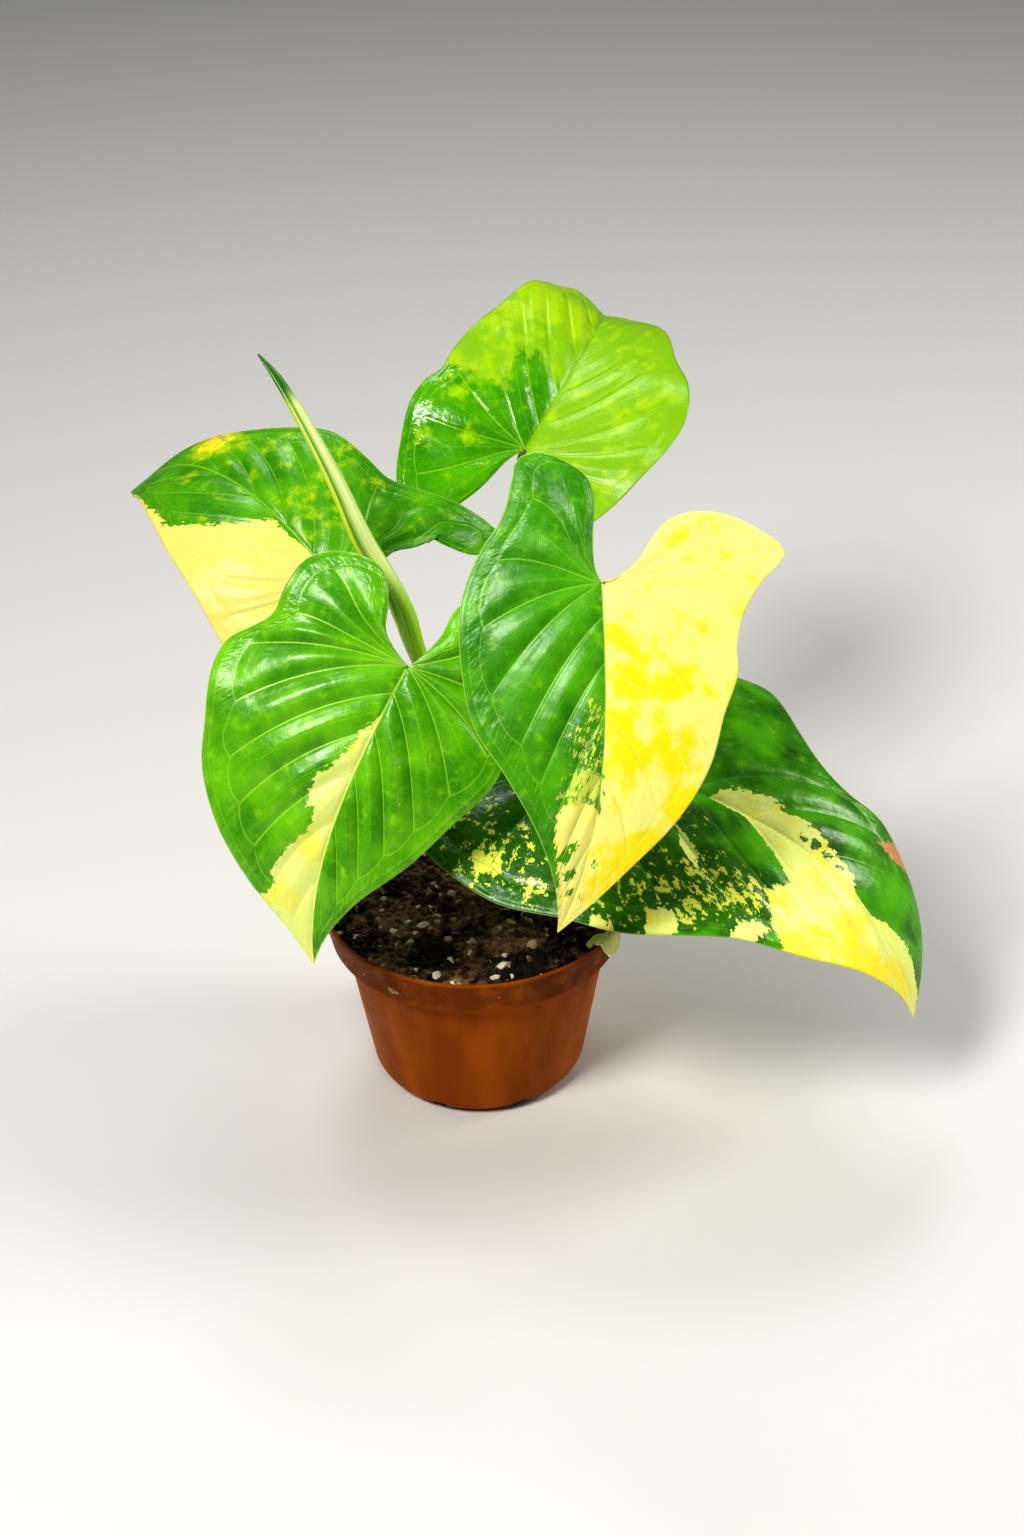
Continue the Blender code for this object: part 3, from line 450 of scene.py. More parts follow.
def grain_tree(name, looks):
    """Geometry Nodes that strew roughened grains over the level part of a surface."""
    values = {"Density": "Float", "Spacing": "Float", "Smallest": "Float", "Largest": "Float",
              "Roughness": "Float", "Sink": "Float", "Seed": "Int"}
    tree, given = new_tree(name, "Surface", values, "Grains")
    upright = node(tree, "ShaderNodeSeparateXYZ", {0: node(tree, "GeometryNodeInputNormal").outputs[0]})
    place = node(tree, "GeometryNodeInputPosition").outputs[0]
    height = node(tree, "ShaderNodeSeparateXYZ", {0: place}).outputs["Z"]
    chosen = times(tree, maths(tree, "GREATER_THAN", height, (SOIL_LEVEL - GRAIN_ZONE) * MM),
                   maths(tree, "GREATER_THAN", upright.outputs["Z"], GRAIN_SLOPE))
    strewn = node(tree, "GeometryNodeDistributePointsOnFaces",
                  {"Mesh": given["Surface"], "Selection": chosen, "Distance Min": given["Spacing"],
                   "Density Max": given["Density"], "Seed": given["Seed"]}, distribute_method="POISSON")
    sunk = node(tree, "ShaderNodeCombineXYZ", {"Z": given["Sink"]})
    settled = node(tree, "GeometryNodeSetPosition",
                   {"Geometry": strewn.outputs["Points"], "Offset": sunk.outputs[0]})
    grain = node(tree, "GeometryNodeMeshIcoSphere", {"Radius": 1.0, "Subdivisions": looks["faces"]})
    size = node(tree, "FunctionNodeRandomValue",
                {2: given["Smallest"], 3: given["Largest"], "Seed": given["Seed"]}, data_type="FLOAT")
    shape = node(tree, "FunctionNodeRandomValue",
                 {0: (0.8, 0.65, 0.5 * looks["flat"]), 1: (1.35, 1.1, looks["flat"]), "Seed": 3},
                 data_type="FLOAT_VECTOR")
    scale = node(tree, "ShaderNodeVectorMath", {0: shape.outputs[0], "Scale": size.outputs[1]},
                 operation="SCALE")
    turn = node(tree, "FunctionNodeRandomValue", {0: (-0.5, -0.5, 0.0), 1: (0.5, 0.5, 6.28), "Seed": 7},
                data_type="FLOAT_VECTOR")
    placed = node(tree, "GeometryNodeInstanceOnPoints",
                  {"Points": settled.outputs[0], "Instance": grain.outputs["Mesh"],
                   "Rotation": turn.outputs[0], "Scale": scale.outputs[0]})
    real = node(tree, "GeometryNodeRealizeInstances", {"Geometry": placed.outputs[0]})
    knock = node(tree, "ShaderNodeTexNoise", {"Vector": place, "Scale": GRAIN_NOISE, "Detail": 1.5})
    centred = node(tree, "ShaderNodeVectorMath", {0: knock.outputs["Color"], 1: (0.5, 0.5, 0.5)},
                   operation="SUBTRACT")
    dent = node(tree, "ShaderNodeVectorMath", {0: centred.outputs[0], "Scale": given["Roughness"]},
                operation="SCALE")
    rough = node(tree, "GeometryNodeSetPosition", {"Geometry": real.outputs[0], "Offset": dent.outputs[0]})
    coated = node(tree, "GeometryNodeSetMaterial",
                  {"Geometry": rough.outputs[0], "Material": looks["finish"]})
    node(tree, "NodeGroupOutput", {"Grains": coated.outputs[0]})
    return tree


def strew(name, surface, density, looks):
    """One plain mesh of grains strewn over the surface."""
    piece = add_piece(name, surface.copy())
    modifier = piece.modifiers.new("strew", "NODES")
    modifier.node_group = grain_tree(name, looks)
    set_inputs(modifier, {"Density": density, "Spacing": looks["spacing"] * MM,
                          "Smallest": looks["low"] * MM, "Largest": looks["high"] * MM,
                          "Roughness": looks["rough"] * MM, "Sink": looks["sink"] * MM,
                          "Seed": looks["seed"]})
    evaluated_mesh(piece, name)
    piece.data.shade_smooth()
    return piece


earth = {"peat": earth_material("peat", PEAT, PEAT_LIGHT, 260.0, 0.92),
         "perlite": earth_material("perlite", PERLITE_DULL, PERLITE, 300.0, 0.85),
         "bark": earth_material("bark", BARK, BARK_LIGHT, 420.0, 0.75)}
soil_top = soil_mesh()
soil = add_piece("soil_bed", soil_top, earth["peat"])
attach(soil, "root")
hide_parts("soil")
for grain_name, grain_looks in GRAINS.items():
    grain_looks["finish"] = earth[grain_looks["material"]]
    grains = strew("soil_" + grain_name, soil_top, GRAINS_PER_SQUARE_METRE[grain_name], grain_looks)
    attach(grains, "root")

# The leaf blades. Heart-shaped and leathery, cream, yellow and green by sectors, with sunken arching
# veins that meet a collecting vein near the margin. Each half is drawn flat from the junction round
# the lobe to the tip, then bent by its droop, sideways bend, fold along the midrib and curled margin.
BLADES = {
    "front_right": dict(
        junction=(39.1, -46.0, 206.5), heading=-87, pitch=-53, roll=0, length=104, half_width=45,
        droop=39, lobe_droop=10, bend=-27, fold=(6, 6), curl=(18, 18), quilt=(1.25, 0.5),
        wave=(0.8, 34, 20),
        left=[(0, 0), (-5, 1.8), (-14, 1.8), (-24, 0.8), (-31, 3), (-36, 10), (-38.5, 17),
              (-36.5, 22.5), (-31, 24), (-20, 27.5), (-9, 35), (5, 40.5), (22, 41), (39, 37.5),
              (53, 28), (69, 17.3), (83, 9.3), (95, 3.6), (104, 0)],
        left_sinus=6, left_first_vein=14,
        right=[(0, 0), (-1, 4), (-6, 10.5), (-13, 15.5), (-17.5, 20.5), (-19.3, 28), (-18, 38),
               (-12, 49.5), (-7.5, 53.5), (-3.5, 51.5), (2, 45.4), (11, 40), (20, 37.9), (28, 37.8),
               (39, 34), (54, 30.8), (69, 23.4), (83, 13.2), (94, 6), (104, 0)],
        right_sinus=5, right_first_vein=14,
        pale=[[(-60, 0), (104, 0), (104, 30), (60, 60), (-60, 70)],
              [(64, 1), (62.5, -5), (62, -9), (66, -12), (72, -11), (79, -9), (84, -7), (91, -5.5),
               (98, -2.5), (105, 0), (98, 1)]],
        islands=[(78, -7, 1.8), (84, -4, 1.7), (75, -5, 1.3), (81, 2, 1.0), (91, 2, 0.9),
                 (90, -2, 1.1), (64, 0.6, 1.2), (60, 0.3, 1.0), (55, 0.2, 0.7)],
        flecks=[(36, -2.5, 5, 0.62), (43, -5.5, 6, 0.72), (50, -4, 6, 0.7), (57, -4.5, 6, 0.95),
                (61, -7, 5, 0.85), (66, -15, 4, 0.35)],
        rich=[(30, 18, 8), (40, 4, 8), (49, 9, 8), (81, 11, 7), (45, 17, 7), (51, 21, 8), (76, 15, 7),
              (16, 6, 7), (28, 7, 7), (66, 25, 8), (88, 6, 6)]),
    "front_left": dict(
        junction=(-17.3, -36.0, 174.0), heading=-135, pitch=-46, roll=-32, length=98, half_width=45,
        droop=41, lobe_droop=10, bend=26, fold=(10, -4), curl=(20, 26), quilt=(1.6, 1.7),
        wave=(1.4, 40, 200),
        left=[(0, 0), (-3, 6.5), (-7, 11), (-15, 14.3), (-21, 19.5), (-22.5, 25.6), (-20, 35),
              (-13.5, 41.8), (-4, 43.2), (5, 42.8), (12, 47.5), (18, 51.8), (27, 52), (42, 47.4),
              (55, 44), (67.5, 35), (80, 21), (89, 8.2), (98, 0)],
        left_sinus=5, left_first_vein=14,
        right=[(0, 0), (-4, 2), (-12, 4.3), (-20, 4.2), (-26.5, 6.5), (-28.5, 11.5), (-23, 20),
               (-6, 31.7), (10, 38.5), (21, 39.3), (36, 33.4), (53.5, 25.4), (71.6, 12.8), (86, 4.8),
               (98, 0)],
        right_sinus=5, right_first_vein=11,
        pale=[[(15, 0.2), (20, -1.8), (22, -3.2), (27, -3.4), (30, -5), (33, -6), (36, -7), (38, -8.5),
               (41, -10.3), (44, -9.3), (47, -10.4), (50, -9.2), (49, -6), (53, -6), (57, -7.5),
               (61, -9.5), (66, -11.5), (71, -14), (74, -15.2), (76.5, -13), (80, -14.5), (84, -20),
               (95, -12), (104, -2), (100, 0.2)]],
        islands=[],
        flecks=[(26, 10, 3, 0.36), (8, 3, 4, 0.42), (16, 25, 3, 0.36), (20, 19, 3, 0.4),
                (37, 15, 3, 0.36), (29, -37, 3, 0.36), (-11, -37, 3, 0.36)],
        rich=[(80, -9, 6), (60, -4, 5)]),
    "right_low": dict(
        junction=(39.3, -8.0, 121.6), heading=-20, pitch=-6, roll=9, length=141, half_width=60,
        droop=76, lobe_droop=10, bend=-11, fold=(8, 12), curl=(35, 33), quilt=(1.3, 1.1),
        wave=(0.8, 46, 60),
        left=[(0, 0), (-8, 3), (-22, 6), (-36, 13), (-45, 23), (-48, 34), (-44, 46), (-33, 54.5),
              (-13, 60.8), (8, 61), (27, 58.8), (47, 51.8), (64, 43.6), (86, 34), (108, 19.5),
              (126, 8), (141, 0)],
        left_sinus=4, left_first_vein=12,
        right=[(0, 0), (-6, 3), (-18, 8), (-30, 18), (-37, 30), (-37, 43), (-28, 54), (-10, 62),
               (10, 65), (29, 62.8), (42, 59), (56, 43.5), (66, 35), (77, 31.3), (90, 32.2),
               (103, 27.5), (118, 20.5), (130, 11.5), (141, 0)],
        right_sinus=4, right_first_vein=11,
        pale=[[(37, 0), (40, 4.5), (46, 8), (50, 9), (55, 9.5), (59, 10), (58.5, 7.5), (63, 8),
               (66, 9), (71, 9), (73, 7), (80, 6.5), (88, 5), (92, 0.5), (101, 0), (108, 3), (118, 7),
               (125, 6), (134, 5), (144, 0), (130, -18), (110, -34), (90, -46), (79, -44), (77, -38),
               (74, -36), (71, -34), (68, -30), (65, -25), (66, -21), (69, -19), (69, -15.5),
               (65, -12.5), (62, -9.5), (58, -7.5), (55, -5), (51, -2.5), (47, -1.5), (39, -0.5)],
              [(32, -18), (36, -20.5), (40, -24), (43, -29), (41.5, -31), (39, -28), (35, -24)],
              [(60, -40), (64, -36), (71, -34), (69, -39), (66, -46), (60, -46)],
              [(33, -50), (36, -46), (41, -45), (45, -49), (43, -58), (36, -58)],
              [(18, -58), (21, -55), (25, -57), (26, -62), (18, -64)],
              [(-6, -55), (-2, -52), (1, -54), (-1, -58)]],
        islands=[(68, 3.5, 1.6), (73, 4, 1.8), (78, 3.5, 1.5), (83, 3.5, 1.4), (71, 6, 1.0)],
        flecks=[(-19, -49, 6, 0.98), (-3, -53, 4, 0.9), (45, -44, 6, 0.85), (-18, -46, 16, 0.62),
                (-30, -34, 14, 0.6), (0, -50, 16, 0.55), (25, -48, 16, 0.62), (20, -30, 15, 0.5),
                (34, -38, 14, 0.62), (36, -13, 7, 0.55), (48, -32, 12, 0.7), (60, -29, 9, 0.75),
                (5, -25, 15, 0.45), (-10, -20, 14, 0.5), (76, 5, 8, 0.5), (62, -36, 8, 0.6)],
        rich=[(100, -22, 16), (115, -16, 14), (85, -34, 12), (128, -7, 10)],
        scorch=[(91, 22), (98, 31), (107, 30), (108, 26), (101, 23.5), (97, 23)]),
    "back_left": dict(
        junction=(-40.8, 4.0, 181.8), heading=139, pitch=35, roll=-18, length=101.5, half_width=38,
        droop=92, lobe_droop=10, bend=25, fold=(13, 0), curl=(21, 30), quilt=(1.0, 0.5),
        wave=(1.0, 38, 140),
        left=[(0, 0), (-2.5, 6), (-3.5, 12), (-3, 17), (-6, 24), (-6, 31), (-12, 35), (-19, 41),
              (-21.8, 48.5), (-19.5, 54.5), (-13, 53.5), (-4, 48.2), (6, 41), (15, 35.5), (26, 34.8),
              (39, 33), (50, 26.5), (64, 17), (79, 9.5), (92, 4), (101.5, 0)],
        left_sinus=8, left_first_vein=16,
        right=[(0, 0), (-6, 3), (-14, 7), (-21, 13), (-24, 21), (-20.5, 30), (-11, 36.8), (1, 39),
               (16, 37), (33, 33.6), (50, 28.2), (67, 20.4), (81, 13.5), (93, 6), (101.5, 0)],
        right_sinus=4, right_first_vein=10,
        pale=[[(-50, 0), (7, 0), (13, 0.3), (16, 1), (18, 2), (21, 1.2), (23, 2.2), (25, 1), (29, 6),
               (33, 11), (38, 16), (44, 20), (49, 23), (53, 24.2), (58, 21.5), (64, 20.5), (75, 16),
               (84, 13), (84, 30), (50, 60), (-50, 60)]],
        islands=[],
        flecks=[(67, -11, 5, 0.55)],
        rich=[(67, -11, 9, 2.2), (60, -10, 6, 0.6), (59, 6, 4, 0.6), (48, -16, 4, 0.35),
              (38, -16, 4, 0.35), (50, -4, 4, 0.3), (42, -4, 3, 0.35), (31, -2, 3, 0.35),
              (46, -22, 4, 0.4), (56, -15, 5, 0.4), (21, -4, 4, 0.4), (22, -10, 12, 0.5),
              (27, -31, 6, 0.5), (16, -28, 5, 0.4)]),
    "back_top": dict(
        junction=(18.9, 64.0, 193.8), heading=53, pitch=33, roll=32, length=104, half_width=40,
        droop=95, lobe_droop=10, bend=8, fold=(21, 12), curl=(2, 31), quilt=(0.35, 0.8),
        wave=(1.6, 30, 40),
        dents=[(84, 23, 6, -3.0), (84, 32, 5, 1.0), (82, 12, 5, 1.2), (70, -30, 7, -1.5)],
        left=[(0, 0), (-4, 3.5), (-12, 7), (-19, 13), (-21.5, 21), (-17, 30), (-6, 35.5), (6, 38.8),
              (17, 41.5), (29, 42), (40, 37), (52, 29), (70, 20.3), (84, 11.5), (95, 5), (104, 0)],
        left_sinus=4, left_first_vein=11,
        right=[(0, 0), (-7, 3.1), (-20, 6), (-31, 11), (-36, 17.8), (-35.3, 25), (-29.5, 31),
               (-18.5, 35.8), (-6, 40), (4, 39.5), (10, 37), (20, 37.1), (39, 33), (52, 30),
               (64, 26.5), (76, 19.5), (88, 11), (97, 4.5), (104, 0)],
        right_sinus=4, right_first_vein=13,
        pale=[[(-60, 0), (8, 0.4), (25, 0.6), (26, 5), (30, 11), (31, 14), (27, 13.5), (31, 20),
               (26, 17), (16, 18), (14, 13.5), (13, 22), (14, 31), (11, 40), (20, 60), (120, 60),
               (120, -60), (-60, -60)]],
        islands=[], flecks=[],
        rich=[(58, 20, 20, 1.0), (46, 26, 15, 0.9), (18, 27, 12, 0.7), (86, 18, 6, 1.0),
              (13, -30, 7, 0.4), (0, -30, 7, 0.4), (5, 28, 6, 0.8), (-6, 18, 5, 0.7), (8, 34, 5, 0.8),
              (-14, 30, 5, 0.7)]),
}
LEAF_LOOKS = {
    "front_right": dict(
        deep=(0.03, 0.21, 0.002), bright=(0.1, 0.4, 0.003), glow=(0.24, 0.54, 0.01),
        pale=(0.88, 0.83, 0.25), yellow=(0.94, 0.77, 0.003), fleck=(0.62, 0.7, 0.12),
        vein=(0.28, 0.58, 0.06), soft=0.14, rough=(0.34, 0.44), painted_shade=0.0, slot="blade_yellow_green"),
    "front_left": dict(
        deep=(0.048, 0.26, 0.001), bright=(0.165, 0.49, 0.002), glow=(0.28, 0.6, 0.01),
        pale=(0.76, 0.82, 0.26), yellow=(0.8, 0.8, 0.14), fleck=(0.5, 0.72, 0.1),
        vein=(0.4, 0.68, 0.09), soft=0.14, rough=(0.28, 0.38), painted_shade=0.0, slot="blade_green"),
    "right_low": dict(
        deep=(0.024, 0.155, 0.001), bright=(0.12, 0.47, 0.002), glow=(0.22, 0.52, 0.01),
        pale=(0.81, 0.87, 0.25), yellow=(0.94, 0.8, 0.03), fleck=(0.7, 0.72, 0.1),
        vein=(0.14, 0.38, 0.03), soft=0.12, rough=(0.26, 0.36), painted_shade=0.75, slot="blade_dark_green"),
    "back_left": dict(
        deep=(0.035, 0.21, 0.001), bright=(0.105, 0.37, 0.001), glow=(0.4, 0.56, 0.002),
        pale=(0.75, 0.63, 0.17), yellow=(0.78, 0.62, 0.12), fleck=(0.85, 0.7, 0.02),
        vein=(0.22, 0.5, 0.02), soft=0.25, rough=(0.3, 0.4), painted_shade=0.0, slot="blade_green"),
    "back_top": dict(
        deep=(0.034, 0.235, 0.001), bright=(0.105, 0.4, 0.001), glow=(0.32, 0.56, 0.001),
        pale=(0.23, 0.46, 0.001), yellow=(0.35, 0.56, 0.001), fleck=(0.4, 0.66, 0.01),
        vein=(0.32, 0.6, 0.01), soft=1.2, rough=(0.17, 0.25), painted_shade=0.0, slot="blade_lime"),
}
PALE_DULLER = 0.17
# Grey-green of the mottled patches, also standing in for sheen on them.
SAGE_AND_SHEEN = (0.20, 0.36, 0.13)
SCORCH = (0.72, 0.30, 0.14)
UNDERSIDE = (0.26, 0.44, 0.10)
# How dark the painted shade on the flecked part of a blade is.
DUSK_SHADE = 0.55
LOBE_VEINS = 4
SIDE_VEINS = 6
VEIN_ARCH = 0.16
VEIN_STEPS = (0.0, 0.03, 0.07, 0.13, 0.22, 0.35, 0.5, 0.65, 0.78, 0.87, 0.93, 0.97)
COLUMN_ENDS = ((0.0, 0.08, 5), (0.08, 0.76, 26), (0.76, 0.94, 11), (0.94, 1.0, 4))
COLLECTING_VEIN = 0.86
OUTER_VEIN = 2.6
ROOMY_GAP = 9.0
QUILT_HEIGHT = 1.15
RIPPLE_HEIGHT = 0.14
GROOVE_DEPTH = 0.12
VEIN_WIDTH = 0.5
VEIN_RELIEF = 0.45
RIB_GROOVE = 0.35
RIB_GROOVE_WIDTH = 0.8
RIB_DEPTH = 1.1
RIB_WIDTH = 0.9
BLADE_THICKNESS = 0.5
MARGIN_THICKNESS = 0.3
MARGIN_WIDTH = 2.0
LINE_STEPS = 10
SECOND_HALF = 20.0
FLAT_SCALE = 200.0
POINT_MARKS = ("patch", "fleck", "rich", "scorch", "lateral", "loop", "minor", "rib", "edge", "flat",
               "grain")


def smooth_line(points, steps):
    """Catmull-Rom line through the points, with the given number of steps in each span."""
    knots = np.array(points, float)
    knots = np.vstack([2 * knots[0] - knots[1], knots, 2 * knots[-1] - knots[-2]])
    line = []
    for a, b, c, d in zip(knots[:-3], knots[1:-2], knots[2:-1], knots[3:]):
        for step in range(steps):
            u = step / steps
            line.append(0.5 * (2 * b + (c - a) * u + (2 * a - 5 * b + 4 * c - d) * u * u
                               + (3 * b - a - 3 * c + d) * u ** 3))
    line.append(knots[-2])
    return np.array(line)


def at_fraction(line, fraction):
    """Points at the given fractions of a line's length."""
    run = np.concatenate([[0.0], np.cumsum(np.linalg.norm(np.diff(line, axis=0), axis=1))])
    where = np.clip(fraction, 0.0, 1.0) * run[-1]
    return np.stack([np.interp(where, run, line[:, k]) for k in range(line.shape[1])], axis=-1)


def blade_axes(leaf):
    """Directions of the flat blade: towards the tip, towards its right side, out of its upper face."""
    heading, pitch, roll = (math.radians(leaf[k]) for k in ("heading", "pitch", "roll"))
    east, north, rise = math.cos(heading), math.sin(heading), math.sin(pitch)
    ahead = np.array([math.cos(pitch) * east, math.cos(pitch) * north, rise])
    up = np.array([-rise * east, -rise * north, math.cos(pitch)])
    right = np.cross(up, ahead)
    level, steep = math.cos(roll), math.sin(roll)
    return ahead, right * level + up * steep, up * level - right * steep


def running(angle_at, reach, x):
    """Distance gone forwards and sideways after x along a line whose angle changes as it goes."""
    steps = np.linspace(0.0, reach, 80)
    angle = angle_at(steps)
    width = np.diff(steps)
    ahead = np.concatenate([[0.0], np.cumsum(width * (np.cos(angle[1:]) + np.cos(angle[:-1])) / 2)])
    aside = np.concatenate([[0.0], np.cumsum(width * (np.sin(angle[1:]) + np.sin(angle[:-1])) / 2)])
    return np.interp(x, steps, ahead), np.interp(x, steps, aside)


def bend_blade(leaf, side, s, q, lift):
    """Place flat points of one half, s along the midrib and q out from it, lifted off the surface."""
    ahead, right, up = blade_axes(leaf)
    length, width = leaf["length"], leaf["half_width"]
    forward, back = np.clip(s, 0, None), np.clip(-s, 0, None)
    droop, lobe, sweep = (math.radians(leaf[k]) for k in ("droop", "lobe_droop", "bend"))
    on, down = running(lambda x: droop * (x / length) ** 1.5, 1.3 * length, forward)
    off, under = running(lambda x: lobe * x / (0.5 * length), length, back)
    aside = running(lambda x: sweep * (x / length) ** 2, 1.3 * length, forward)[1]
    tilt = np.where(s >= 0, droop * (forward / length) ** 1.5, -lobe * back / (0.5 * length))
    rib = (on - off)[:, None] * ahead - (down + under)[:, None] * up + aside[:, None] * right
    out_of = np.cos(tilt)[:, None] * up + np.sin(tilt)[:, None] * ahead
    sign, which = (1.0, 1) if side == "right" else (-1.0, 0)
    fold, curl = math.radians(leaf["fold"][which]), math.radians(leaf["curl"][which])
    slope = fold - curl * q[:, None] * (np.arange(24) + 0.5) / 24 / width
    height, period, phase = leaf["wave"]
    wave = height * (q / width) ** 2 * np.sin(2 * math.pi * s / period + math.radians(phase) + sign)
    outward = np.cos(slope).mean(axis=1) * q
    rise = np.sin(slope).mean(axis=1) * q + wave
    last = fold - curl * q / width
    normal = np.cos(last)[:, None] * out_of - (sign * np.sin(last))[:, None] * right
    place = rib + (sign * outward)[:, None] * right + rise[:, None] * out_of + lift[:, None] * normal
    return np.array(leaf["junction"]) + place


def half_grid(leaf, side):
    """Flat points of one half with a row along and between its veins, and each row's vein number."""
    line = smooth_line(leaf[side], LINE_STEPS)
    split = LINE_STEPS * (leaf[side + "_sinus"] - 1)
    notch_edge, margin = line[:split + 1], line[split:]
    run = np.concatenate([[0.0], np.cumsum(np.linalg.norm(np.diff(margin, axis=0), axis=1))])
    first_share = run[LINE_STEPS * (leaf[side + "_first_vein"] - 1) - split] / run[-1]
    b = np.concatenate([np.linspace(*ends, endpoint=False) for ends in COLUMN_ENDS] + [[1.0]])

    def vein_row(rib, share):
        start = np.array([rib, 0.0])
        end = at_fraction(margin, share)
        reach = np.linalg.norm(end - start)
        middle = (start + end) / 2 + np.array([-VEIN_ARCH * reach, 0.3 * VEIN_ARCH * reach])
        weights = ((1 - b) ** 2)[:, None], (2 * b * (1 - b))[:, None], (b ** 2)[:, None]
        return weights[0] * start + weights[1] * middle + weights[2] * end

    rows = []
    numbers = []
    basal = vein_row(0.0, first_share)
    edge = at_fraction(notch_edge, b)
    for vein in range(LOBE_VEINS + SIDE_VEINS):
        for step in VEIN_STEPS:
            numbers.append(vein + step)
            if vein < LOBE_VEINS:
                w = (vein + step) / LOBE_VEINS
                spare = at_fraction(margin, w * first_share) - (1 - w) * edge[-1] - w * basal[-1]
                rows.append((1 - w) * edge + w * basal + b[:, None] * spare)
            else:
                w = (vein - LOBE_VEINS + step) / SIDE_VEINS
                rib = leaf["length"] * w ** 1.25 * (0.85 + 0.15 * w ** 6)
                rows.append(vein_row(rib, first_share + (1 - first_share) * w ** 0.8))
    rows.append(np.repeat(np.array([[leaf["length"], 0.0]]), len(b), axis=0))
    numbers.append(float(LOBE_VEINS + SIDE_VEINS))
    return np.array(rows), np.array(numbers), b


def inside_distance(points, outline):
    """Distance of flat points to a closed outline, positive inside it."""
    ends = np.array(outline, float)
    nearest = np.full(len(points), 1e9)
    inside = np.zeros(len(points), bool)
    for start, end in zip(ends, np.roll(ends, -1, axis=0)):
        along = end - start
        share = np.clip(((points - start) @ along) / (along @ along), 0.0, 1.0)
        nearest = np.minimum(nearest, np.linalg.norm(points - start - share[:, None] * along, axis=1))
        if start[1] != end[1]:
            crossing = (start[1] > points[:, 1]) != (end[1] > points[:, 1])
            at = start[0] + (points[:, 1] - start[1]) * along[0] / along[1]
            inside ^= crossing & (points[:, 0] < at)
    return np.where(inside, nearest, -nearest)


def painted(leaf, flat):
    """How far each flat point is inside a pale sector, and how flecked, rich and scorched it is.

    Outlines and spots are placed along the midrib and out to its right. A spot also has a radius, and
    a strength where it is not full.
    """
    patch = np.max([inside_distance(flat, outline) for outline in leaf["pale"]], axis=0)
    for s, t, radius in leaf["islands"]:
        patch = np.minimum(patch, np.linalg.norm(flat - (s, t), axis=1) - radius)
    fleck = np.zeros(len(flat))
    for s, t, radius, share in leaf["flecks"]:
        near = np.linalg.norm(flat - (s, t), axis=1) / radius
        fleck = np.maximum(fleck, share * np.clip(1.6 - near, 0.0, 1.0))
    rich = np.zeros(len(flat))
    for s, t, radius, *share in leaf["rich"]:
        near = np.linalg.norm(flat - (s, t), axis=1) / radius
        rich = np.maximum(rich, (share or [1.0])[0] * np.clip(1.25 - near, 0.0, 1.0))
    scorch = inside_distance(flat, leaf["scorch"]) if "scorch" in leaf else np.full(len(flat), -9.0)
    return np.clip(patch, -9.0, 9.0), fleck, rich, np.clip(scorch, -9.0, 9.0)


def mark_points(mesh, name, values):
    """Store a number or a pair of numbers for each point of a mesh."""
    values = np.array(values, float)
    if values.ndim == 1:
        mesh.attributes.new(name, "FLOAT", "POINT").data.foreach_set("value", values)
    else:
        vectors = np.column_stack([values, np.zeros(len(values))])
        mesh.attributes.new(name, "FLOAT_VECTOR", "POINT").data.foreach_set("vector", vectors.ravel())


